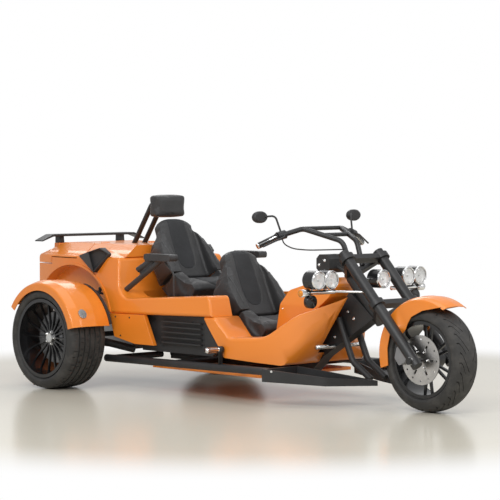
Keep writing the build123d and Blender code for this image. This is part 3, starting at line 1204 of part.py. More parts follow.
def build_underside():
    """Belly pan, engine block, rear suspension, exhaust and tail lamps."""
    top = SPINE_FLOOR_Z - BORE_GAP
    pan = block(BELLY_REAR_X, BELLY_FRONT_X, -BELLY_HALF_WIDTH, BELLY_HALF_WIDTH, top - BELLY_THICKNESS, top)
    write("belly_pan", pan)
    engine = Pos(ENGINE_X, 0, ENGINE_Z + ENGINE_HEIGHT / 2) * Box(ENGINE_LENGTH, ENGINE_WIDTH, ENGINE_HEIGHT)
    write("engine_block", engine)
    arms = []
    for side in SIDES.values():
        knuckle = Pos(0, 0, REAR_TYRE_RADIUS) * axle_cylinder(
            KNUCKLE_RADIUS, *sorted((side * (KNUCKLE_Y - KNUCKLE_WIDTH / 2), side * (KNUCKLE_Y + KNUCKLE_WIDTH / 2))))
        arm = rod((ARM_PIVOT_X, side * ARM_PIVOT_Y, ARM_PIVOT_Z), (0, side * KNUCKLE_Y, REAR_TYRE_RADIUS), ARM_DIAMETER)
        shaft = rod((0, side * (ENGINE_WIDTH / 2 + GAP), REAR_TYRE_RADIUS), (0, side * KNUCKLE_Y, REAR_TYRE_RADIUS),
                    SHAFT_DIAMETER)
        damper = rod((KNUCKLE_RADIUS / 2, side * KNUCKLE_Y, REAR_TYRE_RADIUS + KNUCKLE_RADIUS / 2),
                     mirrored_y(DAMPER_TOP, side), DAMPER_ROD)
        lower = Vector(KNUCKLE_RADIUS / 2, side * KNUCKLE_Y, REAR_TYRE_RADIUS + KNUCKLE_RADIUS / 2)
        stroke = Vector(*mirrored_y(DAMPER_TOP, side)) - lower
        for share in SPRING_SHARES:
            turn_at = lower + stroke * share
            damper += rod(turn_at, turn_at + stroke.normalized() * SPRING_WIRE, SPRING_DIAMETER)
        eye_x, _, eye_z = DAMPER_TOP
        eye = (eye_x, side * (DAMPER_TOP[1] + DAMPER_ROD / 2), eye_z)
        damper += rod((eye_x, side * (ARCH_DEPTH_Y + BORE_GAP), eye_z), eye, DAMPER_ROD)
        radius = REAR_TYRE_RADIUS + REAR_FENDER_GAP + SHEET
        y_to = REAR_FENDER_INNER_Y - BORE_GAP
        y_from = KNUCKLE_Y + STAY_WIDTH / 2
        turn = STAY_END_ANGLE - STAY_START_ANGLE
        face = make_face(Polyline((radius - STAY_WIDTH, y_from, 0), (radius, y_from, 0), (radius, y_to, 0),
                                  (radius - STAY_WIDTH, y_to, 0), close=True))
        stay = Rot(0, -STAY_END_ANGLE, 0) * revolve(face, Axis.Y, turn)
        for angle in (STAY_START_ANGLE + STAY_WIDTH / 4, STAY_END_ANGLE - STAY_WIDTH / 4):
            reach = radius - STAY_WIDTH / 2
            tip = (reach * math.cos(math.radians(angle)), y_from, reach * math.sin(math.radians(angle)))
            stay += rod((0, y_from, 0), tip, STAY_WIDTH / 2)
        stay = Pos(0, 0, REAR_TYRE_RADIUS) * stay
        if side < 0:
            stay = mirror(stay, about=Plane.XZ)
        arms.append(knuckle + arm + shaft + damper + stay)
    write("rear_suspension", *arms)
    pipes = []
    can = Plane(origin=(SILENCER_X, -SILENCER_LENGTH / 2, SILENCER_Z), z_dir=(0, 1, 0)) * extrude(
        Circle(SILENCER_DIAMETER / 2), SILENCER_LENGTH)
    for side in SIDES.values():
        start = (SILENCER_X, side * TAILPIPE_Y, SILENCER_Z)
        collar_end = SILENCER_X - SILENCER_DIAMETER / 2 - COLLAR_LENGTH
        can += rod(start, (collar_end, side * TAILPIPE_Y, SILENCER_Z), COLLAR_DIAMETER)
        can += rod(start, (collar_end - TAILPIPE_LENGTH, side * TAILPIPE_Y, SILENCER_Z), TAILPIPE_DIAMETER)
    pipes.append(can)
    feed = ENGINE_X - ENGINE_LENGTH / 2 - BORE_GAP
    pipes[0] += rod((SILENCER_X, 0, SILENCER_Z), (feed, 0, SILENCER_Z), TAILPIPE_DIAMETER)
    write("exhaust", *pipes)
    lamps = []
    for side in SIDES.values():
        face = Plane(origin=(TAIL_X, side * TAIL_LAMP_Y, TAIL_LAMP_Z), z_dir=(1, 0, 0))
        lamps.append(face * extrude(Circle(TAIL_LAMP_DIAMETER / 2), TAIL_LAMP_DEPTH))
    write("tail_lamps", *lamps)


def ledge_z(x):
    """Height of the ledge beside the seats at one station."""
    share = (x - REAR_BODY_FRONT_X) / (LEDGE_FRONT_X - REAR_BODY_FRONT_X)
    return LEDGE_REAR_Z + share * (LEDGE_FRONT_Z - LEDGE_REAR_Z)


def seat(name, hip, shoulder):
    """A bucket seat drawn upright about its hip and then reclined; returns its pedestal."""
    back = Vector(shoulder[0] - hip[0], 0, shoulder[1] - hip[1])
    height = back.length
    place = Plane(origin=(hip[0], 0, hip[1]), x_dir=(back.Z, 0, -back.X), z_dir=back.normalized())

    def outline(shares):
        return [(fore * height, up * height, round_share * height) for fore, up, round_share in shares]

    backrest = rounded_slab(outline(BACK_CORE_SHARES), -CORE_HALF_WIDTH, CORE_HALF_WIDTH)
    cushion = rounded_slab(outline(CUSHION_CORE_SHARES), -CORE_HALF_WIDTH, CORE_HALF_WIDTH)
    for side in SIDES.values():
        ends = between(side, CORE_HALF_WIDTH - SHEET, WING_HALF_WIDTH)
        backrest += rounded_slab(outline(BACK_WING_SHARES), *ends)
        cushion += rounded_slab(outline(CUSHION_WING_SHARES), *ends)
    front = [(WING_HALF_WIDTH * across_share, up * height, SHOULDER_ROUND) for across_share, up in SHOULDER_LINE_SHARES]
    front = [(-y, z, corner) for y, z, corner in front] + front[::-1]
    backrest &= rounded_across([(y, z, corner) for y, z, corner in front], -height, height)
    write(name + "_backrest", place * backrest)
    write(name + "_cushion", place * (Pos(0, 0, -SEAT_GAP) * cushion))
    under = [place.from_local_coords((fore * height, 0, up * height - SEAT_GAP * 2))
             for fore, up, _ in CUSHION_WING_SHARES[-2:]]
    slope = (under[0].Z - under[1].Z) / (under[0].X - under[1].X)
    rear = under[1].X + PEDESTAL_INSET
    tip = rear + PEDESTAL_LENGTH
    floor = SPINE_TOP_Z + SEAT_GAP
    base = [(rear, floor), (rear, under[1].Z + slope * PEDESTAL_INSET),
            (tip, under[1].Z + slope * (PEDESTAL_INSET + PEDESTAL_LENGTH)), (tip, floor)]
    return slab(base, -PEDESTAL_HALF_WIDTH, PEDESTAL_HALF_WIDTH)


def build_seats():
    """Both seats, the passenger's headrest with its hoop, the armrests and the pegs."""
    pedestals = [seat("driver", (DRIVER_HIP_X, DRIVER_HIP_Z), (DRIVER_SHOULDER_X, DRIVER_SHOULDER_Z)),
                 seat("passenger", PASSENGER_HIP, PASSENGER_SHOULDER)]
    write("seat_pedestals", *pedestals)
    rest = Pos(HEADREST_X, 0, HEADREST_Z) * Box(HEADREST_DEPTH, HEADREST_HALF_WIDTH * 2, HEADREST_HEIGHT)
    write("passenger_headrest", fillet(rest.edges(), HEADREST_DEPTH / 4))
    tubes = []
    hull = rear_hull(0)
    for side in SIDES.values():
        y = side * HOOP_HALF_SPREAD
        points = [(HOOP_BASE_X, y, DECK_Z - HOOP_DIAMETER), (HOOP_TOP_X, y, HOOP_TOP_Z),
                  (HEADREST_X, y, HOOP_TOP_Z - HOOP_DIAMETER / 4)]
        tube = bent_rod(points, HOOP_BEND_RADIUS, HOOP_DIAMETER)
        tube -= block(HEADREST_X - HEADREST_DEPTH / 2 - BORE_GAP, HEADREST_X + OVERRUN * 2, y - OVERRUN * 2,
                      y + OVERRUN * 2, DECK_Z, HOOP_TOP_Z + OVERRUN * 2)
        tubes.append(tube - hull)
    write("headrest_hoop", *tubes)
    rests = []
    for side in SIDES.values():
        y = side * ARMREST_Y
        pad = Box(ARMREST_LENGTH, ARMREST_WIDTH, ARMREST_HEIGHT)
        pad = Pos(ARMREST_X, y, ARMREST_Z) * fillet(pad.edges().filter_by(Axis.Y), ARMREST_ROUND)
        start = ARMREST_X - ARMREST_LENGTH / 2
        for share, drop, reach in ARMREST_STUB_SHARES:
            top = (start + share * ARMREST_LENGTH, y, ARMREST_Z)
            low = (start + (share - reach) * ARMREST_LENGTH, y + side * ARMREST_STUB, ARMREST_Z - drop * ARMREST_LENGTH)
            pad += rod(top, low, ARMREST_STUB)
        foot = ledge_z(ARMREST_POST_X + ARMREST_TUBE / 2) + BORE_GAP
        crook = (ARMREST_POST_X, y, ARMREST_Z - ARMREST_HEIGHT * 2)
        pad += bent_rod([(ARMREST_X, y, ARMREST_Z), crook, (ARMREST_POST_X, y, foot)], ARMREST_ROUND * 2, ARMREST_TUBE)
        rests.append(pad - hull)
    write("armrests", *rests)
    pegs = []
    for side in SIDES.values():
        post = (PEG_X, side * RAIL_Y, RAIL_FRONT_Z)
        root = side * RAIL_Y
        peg = rod(post, (PEG_X, root, PEG_Z), PEG_DIAMETER)
        peg += rod((PEG_X, root, PEG_Z), (PEG_X, root + side * (PEG_COLLAR_LENGTH + PEG_LENGTH), PEG_Z), PEG_DIAMETER)
        peg += rod((PEG_X, root - side * PEG_DIAMETER / 2, PEG_Z), (PEG_X, root + side * PEG_COLLAR_LENGTH, PEG_Z),
                   PEG_COLLAR_DIAMETER)
        pegs.append(peg - side_rail(side))
        inner = side * (SPINE_HALF_WIDTH + GAP)
        pegs.append(rod((RIDER_PEG_X, inner, RIDER_PEG_Z), (RIDER_PEG_X, inner + side * RIDER_PEG_LENGTH, RIDER_PEG_Z),
                        PEG_DIAMETER))
    write("foot_pegs", *pegs)


build_rear_wheels()
build_front_wheel()
build_fork()
build_handlebar()
build_lamps()
build_fenders()
build_rear_body()
build_spoiler()
build_scoops()
build_nose()
build_tank()
build_flanks()
build_frame()
build_underside()
build_seats()
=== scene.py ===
"""A three-wheeled motor trike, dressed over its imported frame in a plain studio."""

import logging
import math
from dataclasses import dataclass, field
from enum import Enum
from typing import Callable, Iterable, Sequence

import bmesh
import bpy
import numpy as np
from mathutils import Matrix, Vector
from mathutils.bvhtree import BVHTree


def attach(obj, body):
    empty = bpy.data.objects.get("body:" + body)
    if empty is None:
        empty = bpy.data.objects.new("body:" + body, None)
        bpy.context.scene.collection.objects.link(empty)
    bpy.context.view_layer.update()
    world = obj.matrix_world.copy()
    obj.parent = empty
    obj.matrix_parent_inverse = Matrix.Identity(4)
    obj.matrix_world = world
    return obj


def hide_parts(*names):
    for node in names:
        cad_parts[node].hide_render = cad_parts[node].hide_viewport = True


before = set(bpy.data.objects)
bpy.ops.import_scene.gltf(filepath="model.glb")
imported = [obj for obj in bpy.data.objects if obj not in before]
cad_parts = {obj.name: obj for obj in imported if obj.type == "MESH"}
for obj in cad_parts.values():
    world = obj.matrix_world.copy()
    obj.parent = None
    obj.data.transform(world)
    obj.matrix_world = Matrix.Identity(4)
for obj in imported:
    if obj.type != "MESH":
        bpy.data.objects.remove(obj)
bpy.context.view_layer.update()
LOG = logging.getLogger("trike")
Colour = tuple[float, float, float]
Point = tuple[float, float, float]
Line = list[tuple[float, float]]
Rings = Sequence[tuple[float, float]]
Socket = bpy.types.NodeSocket
MM = 1000.0
REAR_AXLE_BACK = 1131.5
MERGE_GAP = 1e-5
SIDES = (-1.0, 1.0)
ORIGIN: Point = (0.0, 0.0, 0.0)
UP: Point = (0.0, 0.0, 1.0)
LEFT: Point = (0.0, 1.0, 0.0)
AHEAD: Point = (1.0, 0.0, 0.0)
BEHIND: Point = (-1.0, 0.0, 0.0)


class Body(Enum):
    """The moving bodies that a piece can ride on."""

    CHASSIS = "chassis"
    STEERING = "steering"
    FRONT_WHEEL = "front_wheel"
    REAR_RIGHT = "rear_wheel_right"
    REAR_LEFT = "rear_wheel_left"
    LID = "trunk_lid"


class Board:
    """One material's node tree, with short ways to add and join its nodes."""

    def __init__(self, name: str) -> None:
        """Start an empty node tree with a Principled shader.

        Args:
            name: The material's name.
        """
        self.material = bpy.data.materials.new(name)
        self.material.use_nodes = True
        self.nodes = self.material.node_tree.nodes
        self.links = self.material.node_tree.links
        self.nodes.clear()
        self.output = self.nodes.new("ShaderNodeOutputMaterial")
        self.shader = self.nodes.new("ShaderNodeBsdfPrincipled")
        self.links.new(self.shader.outputs["BSDF"], self.output.inputs["Surface"])
        self.place = self.nodes.new("ShaderNodeTexCoord").outputs["Object"]

    def set(self, **values: float | tuple) -> None:
        """Set constants on the shader's own sockets.

        Args:
            values: Each socket's value; an underscore in a name stands for a space.
        """
        for key, value in values.items():
            self.shader.inputs[key.replace("_", " ")].default_value = value

    def stretch(self, scale: Point) -> Socket:
        """Object coordinates scaled by one factor for each axis.

        Args:
            scale: The factor along X, Y and Z.

        Returns:
            The vector socket.
        """
        node = self.nodes.new("ShaderNodeMapping")
        node.inputs["Scale"].default_value = scale
        self.links.new(self.place, node.inputs["Vector"])
        return node.outputs["Vector"]

    def noise(self, scale: float, detail: float = 4.0, rough: float = 0.55,
              vector: Socket | None = None) -> Socket:
        """A noise texture.

        Args:
            scale: How fine the noise is, per metre.
            detail: The number of octaves.
            rough: How strong the fine octaves are.
            vector: The coordinates, or None for Object coordinates.

        Returns:
            The factor socket.
        """
        node = self.nodes.new("ShaderNodeTexNoise")
        node.inputs["Scale"].default_value = scale
        node.inputs["Detail"].default_value = detail
        node.inputs["Roughness"].default_value = rough
        self.links.new(vector or self.place, node.inputs["Vector"])
        return node.outputs["Fac"]

    def cells(self, scale: float, edge: bool = True) -> Socket:
        """A Voronoi texture, as distance to a cell's edge or to its centre.

        Args:
            scale: How many cells fit in a metre.
            edge: True for the distance to the edge.

        Returns:
            The distance socket.
        """
        node = self.nodes.new("ShaderNodeTexVoronoi")
        node.feature = "DISTANCE_TO_EDGE" if edge else "F1"
        node.inputs["Scale"].default_value = scale
        self.links.new(self.place, node.inputs["Vector"])
        return node.outputs["Distance"]

    def ramp(self, source: Socket, low: float, high: float, start: Colour | float,
             end: Colour | float) -> Socket:
        """A colour ramp with two stops.

        Args:
            source: The factor socket.
            low: Where the first colour ends.
            high: Where the second colour begins.
            start: The first colour, or one grey.
            end: The second colour, or one grey.

        Returns:
            The colour socket.
        """
        node = self.nodes.new("ShaderNodeValToRGB")
        stops = node.color_ramp.elements
        for stop, position, colour in ((stops[0], low, start), (stops[1], high, end)):
            stop.position = position
            values = (colour,) * 3 if isinstance(colour, (int, float)) else colour
            stop.color = (*values, 1.0)
        self.links.new(source, node.inputs["Fac"])
        return node.outputs["Color"]

    def span(self, source: Socket, low: float, high: float) -> Socket:
        """Map a 0 to 1 value onto a range.

        Args:
            source: The value socket.
            low: What 0 becomes.
            high: What 1 becomes.

        Returns:
            The mapped value socket.
        """
        node = self.nodes.new("ShaderNodeMapRange")
        node.inputs["To Min"].default_value = low
        node.inputs["To Max"].default_value = high
        self.links.new(source, node.inputs["Value"])
        return node.outputs["Result"]

    def math(self, kind: str, first: Socket, second: Socket | float) -> Socket:
        """One arithmetic step on a value.

        Args:
            kind: The operation's name.
            first: The first value socket.
            second: The second value or socket.

        Returns:
            The result socket.
        """
        node = self.nodes.new("ShaderNodeMath")
        node.operation = kind
        self.links.new(first, node.inputs[0])
        if isinstance(second, (int, float)):
            node.inputs[1].default_value = second
        else:
            self.links.new(second, node.inputs[1])
        return node.outputs["Value"]

    def mix(self, factor: Socket, first: Socket | Colour, second: Socket | Colour) -> Socket:
        """Blend two colours by a factor.

        Args:
            factor: The factor socket.
            first: The colour at 0.
            second: The colour at 1.

        Returns:
            The colour socket.
        """
        node = self.nodes.new("ShaderNodeMix")
        node.data_type = "RGBA"
        self.links.new(factor, node.inputs["Factor"])
        for key, value in (("A", first), ("B", second)):
            socket = [entry for entry in node.inputs if entry.name == key and entry.type == "RGBA"][0]
            if isinstance(value, tuple):
                socket.default_value = (*value, 1.0)
            else:
                self.links.new(value, socket)
        return [entry for entry in node.outputs if entry.type == "RGBA"][0]

    def bump(self, height: Socket, strength: float, distance: float, base: Socket | None = None) -> Socket:
        """A bump normal.

        Args:
            height: The height socket.
            strength: The bump's strength.
            distance: The bump's depth in metres.
            base: A normal to build on, or None.

        Returns:
            The normal socket.
        """
        node = self.nodes.new("ShaderNodeBump")
        node.inputs["Strength"].default_value = strength
        node.inputs["Distance"].default_value = distance
        self.links.new(height, node.inputs["Height"])
        if base is not None:
            self.links.new(base, node.inputs["Normal"])
        return node.outputs["Normal"]

    def join(self, socket: Socket, name: str) -> None:
        """Link a socket to the shader.

        Args:
            socket: The socket that gives the value.
            name: The shader's input.
        """
        self.links.new(socket, self.shader.inputs[name])


@dataclass(frozen=True)
class Finish:
    """A finish: its name, colour and gloss."""

    name: str
    colour: Colour
    rough: float = 0.5
    metal: float = 0.0

    def board(self) -> Board:
        """A board with the finish's constants set."""
        board = Board(self.name)
        board.set(Base_Color=(*self.colour, 1.0), Roughness=self.rough, Metallic=self.metal)
        return board

    def make(self) -> bpy.types.Material:
        """The finished material."""
        return self.board().material

    def tinted(self, factor: float, lift: float = 0.0) -> Colour:
        """The colour, lighter or darker.

        Args:
            factor: What each part is multiplied by.
            lift: What is then added to it.

        Returns:
            The new colour.
        """
        return tuple(min(1.0, value * factor + lift) for value in self.colour)


@dataclass(frozen=True)
class Paint(Finish):
    """Metallic paint under a clear coat, with fine flakes and a soft orange peel."""

    deep: Colour = (0.84, 0.20, 0.010)
    flakes: float = 2600.0
    flake_share: float = 0.25
    drift: float = 3.0
    drift_share: float = 0.35
    peel: float = 420.0
    spread: float = 0.12

    def make(self) -> bpy.types.Material:
        """The finished material."""
        board = self.board()
        flake = board.cells(self.flakes, edge=False)
        drift = board.noise(self.drift, detail=2.0)
        colour = board.mix(board.span(drift, 0.0, self.drift_share), self.colour, self.deep)
        board.join(board.mix(board.span(flake, 0.0, self.flake_share), colour, self.deep), "Base Color")
        board.join(board.span(flake, self.rough, self.rough + self.spread), "Roughness")
        board.join(board.bump(board.noise(self.peel, detail=1.0), strength=0.05, distance=0.0002), "Normal")
        board.set(Coat_Weight=0.55, Coat_Roughness=0.06, Coat_IOR=1.45)
        return board.material


@dataclass(frozen=True)
class Powder(Finish):
    """Powder coat or satin paint with a fine pebble and faint dust."""

    grain: float = 900.0
    depth: float = 0.12
    wear: float = 9.0

    def make(self) -> bpy.types.Material:
        """The finished material."""
        board = self.board()
        pebble = board.noise(self.grain, detail=2.0)
        wear = board.noise(self.wear, detail=5.0)
        lighter = self.tinted(factor=1.25, lift=0.006)
        board.join(board.ramp(wear, 0.42, 0.75, self.colour, lighter), "Base Color")
        board.join(board.span(wear, self.rough - 0.07, self.rough + 0.1), "Roughness")
        board.join(board.bump(pebble, self.depth, distance=0.0004), "Normal")
        return board.material


@dataclass(frozen=True)
class Rubber(Finish):
    """Dark rubber with dusty shoulders and a fine moulded grain."""

    dust: Colour = (0.085, 0.08, 0.075)
    patch: float = 14.0
    grain: float = 1500.0

    def make(self) -> bpy.types.Material:
        """The finished material."""
        board = self.board()
        patches = board.noise(self.patch, detail=6.0, rough=0.6)
        grain = board.noise(self.grain, detail=2.0)
        board.join(board.ramp(patches, 0.45, 0.85, self.colour, self.dust), "Base Color")
        board.join(board.span(patches, self.rough - 0.05, self.rough + 0.16), "Roughness")
        board.join(board.bump(grain, strength=0.18, distance=0.0004), "Normal")
        return board.material


@dataclass(frozen=True)
class Leather(Finish):
    """Grained leather with fine creases between its pebbles."""

    pebble: float = 420.0
    crease: float = 60.0
    patch: float = 7.0

    def make(self) -> bpy.types.Material:
        """The finished material."""
        board = self.board()
        cells = board.cells(self.pebble)
        creases = board.noise(self.crease, detail=6.0, rough=0.6)
        patches = board.noise(self.patch, detail=3.0)
        lighter = self.tinted(factor=1.7, lift=0.004)
        board.join(board.ramp(patches, 0.35, 0.8, self.colour, lighter), "Base Color")
        board.join(board.span(creases, self.rough - 0.08, self.rough + 0.12), "Roughness")
        fine = board.bump(board.ramp(cells, 0.0, 0.16, 0.0, 1.0), strength=0.35, distance=0.0006)
        board.join(board.bump(creases, strength=0.22, distance=0.0012, base=fine), "Normal")
        board.set(Sheen_Weight=0.12, Sheen_Roughness=0.4)
        return board.material


@dataclass(frozen=True)
class Metal(Finish):
    """Bare or plated metal with smudges and fine brushing along one axis."""

    brush: Point = (40.0, 40.0, 900.0)
    smear: float = 0.08
    smudge: float = 18.0
    smoothest: float = 0.02

    def make(self) -> bpy.types.Material:
        """The finished material."""
        board = self.board()
        lines = board.noise(1.0, detail=3.0, rough=0.6, vector=board.stretch(self.brush))
        smudge = board.noise(self.smudge, detail=5.0)
        board.join(board.ramp(smudge, 0.3, 0.8, self.colour, self.tinted(factor=0.72)), "Base Color")
        glossy = max(self.smoothest, self.rough - self.smear)
        board.join(board.span(lines, glossy, self.rough + self.smear), "Roughness")
        board.join(board.bump(lines, strength=0.06, distance=0.0002), "Normal")
        return board.material


@dataclass(frozen=True)
class Lens(Finish):
    """Clear or tinted glass."""

    clear: float = 0.9
    rib: float = 160.0

    def make(self) -> bpy.types.Material:
        """The finished material."""
        board = self.board()
        board.set(Transmission_Weight=self.clear, IOR=1.46)
        ribs = board.noise(self.rib, detail=2.0)
        board.join(board.bump(ribs, strength=0.08, distance=0.0005), "Normal")
        board.join(board.span(ribs, self.rough, self.rough + 0.04), "Roughness")
        return board.material


class Finishes:
    """Every material of the trike, made once and handed out by name."""

    RANGE: tuple[Finish, ...] = (
        Paint("orange_paint", (0.95, 0.285, 0.022), 0.4),
        Powder("satin_black", (0.016, 0.016, 0.017), 0.42),
        Powder("gloss_black", (0.010, 0.010, 0.011), 0.2, grain=700.0, depth=0.04),
        Powder("frame_black", (0.018, 0.018, 0.019), 0.5, grain=500.0, depth=0.25),
        Powder("dark_plastic", (0.022, 0.022, 0.023), 0.55, grain=1400.0, depth=0.3),
        Rubber("tyre_rubber", (0.03, 0.029, 0.028), 0.62),
        Rubber("grip_rubber", (0.02, 0.02, 0.02), 0.58),
        Leather("seat_leather", (0.022, 0.022, 0.023), 0.46),
        Leather("seat_fabric", (0.016, 0.017, 0.019), 0.75, pebble=900.0),
        Metal("bright_chrome", (0.86, 0.86, 0.86), 0.09, 1.0),
        Metal("disc_steel", (0.55, 0.54, 0.53), 0.3, 1.0, (900.0, 20.0, 900.0), 0.1),
        Metal("brushed_steel", (0.62, 0.62, 0.61), 0.24, 1.0, (60.0, 700.0, 60.0)),
        Metal("bowl_silver", (0.93, 0.93, 0.92), 0.38, 0.6, (30.0, 30.0, 30.0), 0.05),
        Powder("bulb_glass", (0.8, 0.8, 0.78), 0.2, grain=300.0, depth=0.03),
        Powder("thread", (0.06, 0.06, 0.062), 0.7, grain=2500.0, depth=0.3),
        Leather("piping", (0.045, 0.046, 0.048), 0.4, pebble=700.0),
        Metal("cast_alloy", (0.32, 0.32, 0.33), 0.45, 0.9, (60.0, 60.0, 60.0), 0.12),
        Lens("clear_glass", (1.0, 1.0, 1.0), 0.07),
        Lens("red_lens", (0.7, 0.02, 0.02), 0.08, clear=0.5),
        Lens("amber_lens", (0.95, 0.35, 0.03), 0.08, clear=0.5),
        Metal("mirror_glass", (0.92, 0.93, 0.95), 0.02, 1.0, (10.0, 10.0, 10.0), 0.01),
    )

    def __init__(self) -> None:
        """Make every material."""
        self.made = {finish.name: finish.make() for finish in self.RANGE}

    def __getitem__(self, name: str) -> bpy.types.Material:
        """Look a material up.

        Args:
            name: The finish's name.

        Returns:
            The material.
        """
        return self.made[name]


@dataclass(frozen=True)
class SoftLight:
    """A rectangular soft light and what it looks at, in metres and watts."""

    name: str
    place: Point
    target: Point
    size: tuple[float, float]
    power: float


@dataclass
class Studio:
    """The camera, the pale floor, the white surround and the soft lights."""

    camera_place: Point = (9.6162, -9.1596, 1.4326)
    azimuth: float = 46.638
    elevation: float = 2.2563
    roll: float = -0.0437
    lens: float = 150.5
    sensor: float = 36.0
    sight: float = 200.0
    floor_reach: float = 40.0
    floor_fade: tuple[float, float] = (2.7, 3.8)
    floor_colour: Colour = (0.84, 0.79, 0.67)
    floor_rough: float = 0.2
    floor_cloud: float = 0.9
    floor_shade: float = 0.96
    floor_glossy_share: float = 0.6
    sky_glossy_share: float = 0.55
    sky_dim: tuple[Colour, float] = ((0.95, 0.97, 1.0), 0.36)
    sky_white: tuple[Colour, float] = ((1.0, 1.0, 1.0), 1.0)
    rig: tuple[SoftLight, ...] = (
        SoftLight("key_light", (3.5, -5.5, 5.2), (0.3, 0.0, 0.4), (5.5, 2.4), 300.0),
        SoftLight("fill_light", (6.5, 2.5, 4.5), (0.6, 0.0, 0.5), (4.0, 2.0), 120.0),
        SoftLight("back_light", (-5.0, 3.5, 5.0), (-0.6, 0.0, 0.6), (5.0, 2.0), 110.0),
        SoftLight("top_light", (0.0, 0.0, 6.5), (0.0, 0.0, 0.0), (6.0, 3.0), 90.0),
    )

    def aim(self) -> None:
        """Place the camera at the photograph's viewpoint."""
        data = bpy.data.cameras.new("studio_camera")
        data.lens = self.lens
        data.sensor_width = self.sensor
        data.clip_end = self.sight
        camera = bpy.data.objects.new("studio_camera", data)
        bpy.context.scene.collection.objects.link(camera)
        camera.matrix_world = (
            Matrix.Translation(self.camera_place)
            @ Matrix.Rotation(math.radians(self.azimuth), 4, "Z")
            @ Matrix.Rotation(math.radians(90.0 - self.elevation), 4, "X")
            @ Matrix.Rotation(math.radians(self.roll), 4, "Z")
        )
        bpy.context.scene.camera = camera

    def lay_floor(self) -> None:
        """Lay a pale floor that fades to white round the trike."""
        clear_selection()
        bpy.ops.mesh.primitive_plane_add(size=self.floor_reach * 2, location=ORIGIN)
        floor = bpy.context.object
        floor.name = "studio_floor"
        board = Board("studio_floor")
        board.set(Roughness=self.floor_rough)
        warm = tuple(value * self.floor_shade for value in self.floor_colour)
        tone = board.noise(self.floor_cloud, detail=3.0)
        board.join(board.mix(tone, self.floor_colour, warm), "Base Color")
        length = board.nodes.new("ShaderNodeVectorMath")
        length.operation = "LENGTH"
        board.links.new(board.place, length.inputs[0])
        reach = board.nodes.new("ShaderNodeMapRange")
        reach.interpolation_type = "SMOOTHSTEP"
        reach.inputs["From Min"].default_value = self.floor_fade[0]
        reach.inputs["From Max"].default_value = self.floor_fade[1]
        board.links.new(length.outputs["Value"], reach.inputs["Value"])
        glow = board.nodes.new("ShaderNodeEmission")
        glow.inputs["Strength"].default_value = 1.0
        path = board.nodes.new("ShaderNodeLightPath")
        soft = board.math("MULTIPLY", path.outputs["Is Glossy Ray"], self.floor_glossy_share)
        seen = board.math("MAXIMUM", path.outputs["Is Camera Ray"], soft)
        shown = board.math("MAXIMUM", seen, path.outputs["Is Transmission Ray"])
        blend = board.nodes.new("ShaderNodeMixShader")
        board.links.new(board.math("MULTIPLY", reach.outputs["Result"], shown), blend.inputs["Fac"])
        board.links.new(board.shader.outputs["BSDF"], blend.inputs[1])
        board.links.new(glow.outputs["Emission"], blend.inputs[2])
        board.links.new(blend.outputs["Shader"], board.output.inputs["Surface"])
        floor.data.materials.append(board.material)

    def hang_lights(self) -> None:
        """Hang the soft lights."""
        for light in self.rig:
            data = bpy.data.lights.new(light.name, "AREA")
            data.shape = "RECTANGLE"
            data.size, data.size_y = light.size
            data.energy = light.power
            lamp = bpy.data.objects.new(light.name, data)
            bpy.context.scene.collection.objects.link(lamp)
            lamp.location = light.place
            sight = Vector(light.target) - Vector(light.place)
            lamp.rotation_euler = sight.to_track_quat("-Z", "Y").to_euler()

    def set_surround(self) -> None:
        """Light the room dimly and show it white to the camera, through glass and partly in gloss."""
        world = bpy.data.worlds.new("studio_world")
        bpy.context.scene.world = world
        world.use_nodes = True
        nodes, links = world.node_tree.nodes, world.node_tree.links
        nodes.clear()
        output = nodes.new("ShaderNodeOutputWorld")
        skies = []
        for colour, strength in (self.sky_dim, self.sky_white):
            sky = nodes.new("ShaderNodeBackground")
            sky.inputs["Color"].default_value = (*colour, 1.0)
            sky.inputs["Strength"].default_value = strength
            skies.append(sky)
        path = nodes.new("ShaderNodeLightPath")
        steps = []
        for kind in ("MAXIMUM", "MULTIPLY", "MAXIMUM"):
            steps.append(nodes.new("ShaderNodeMath"))
            steps[-1].operation = kind
        seen, glossy, through = steps
        links.new(path.outputs["Is Camera Ray"], seen.inputs[0])
        links.new(path.outputs["Is Transmission Ray"], seen.inputs[1])
        glossy.inputs[1].default_value = self.sky_glossy_share
        links.new(path.outputs["Is Glossy Ray"], glossy.inputs[0])
        links.new(seen.outputs["Value"], through.inputs[0])
        links.new(glossy.outputs["Value"], through.inputs[1])
        blend = nodes.new("ShaderNodeMixShader")
        links.new(through.outputs["Value"], blend.inputs["Fac"])
        for number, sky in enumerate(skies, start=1):
            links.new(sky.outputs["Background"], blend.inputs[number])
        links.new(blend.outputs["Shader"], output.inputs["Surface"])
        bpy.context.scene.view_settings.view_transform = "Standard"

    def build(self) -> None:
        """Set up the whole studio."""
        self.aim()
        self.lay_floor()
        self.hang_lights()
        self.set_surround()


def clear_selection() -> None:
    """Deselect everything, in object mode."""
    if bpy.context.object and bpy.context.object.mode != "OBJECT":
        bpy.ops.object.mode_set(mode="OBJECT")
    bpy.ops.object.select_all(action="DESELECT")


def at(x: float, y: float, z: float) -> Vector:
    """A place in the frame.

    Args:
        x: Millimetres ahead of the rear axle.
        y: Millimetres to the left.
        z: Millimetres above the ground.

    Returns:
        The place, in metres.
    """
    return Vector(((x - REAR_AXLE_BACK) / MM, y / MM, z / MM))


def turn_to(axis: Sequence[float]) -> Matrix:
    """The turn that takes +Z to an axis.

    Args:
        axis: The direction.

    Returns:
        The turn as a matrix of four rows.
    """
    return Vector(UP).rotation_difference(Vector(axis)).to_matrix().to_4x4()


def sector(spot: Vector, steps: int) -> int:
    """The number of the sector round the Z axis that a place lies in.

    Args:
        spot: The place.
        steps: The number of sectors in a full turn.

    Returns:
        The sector's number.
    """
    return int(math.atan2(spot.y, spot.x) % math.tau / math.tau * steps)


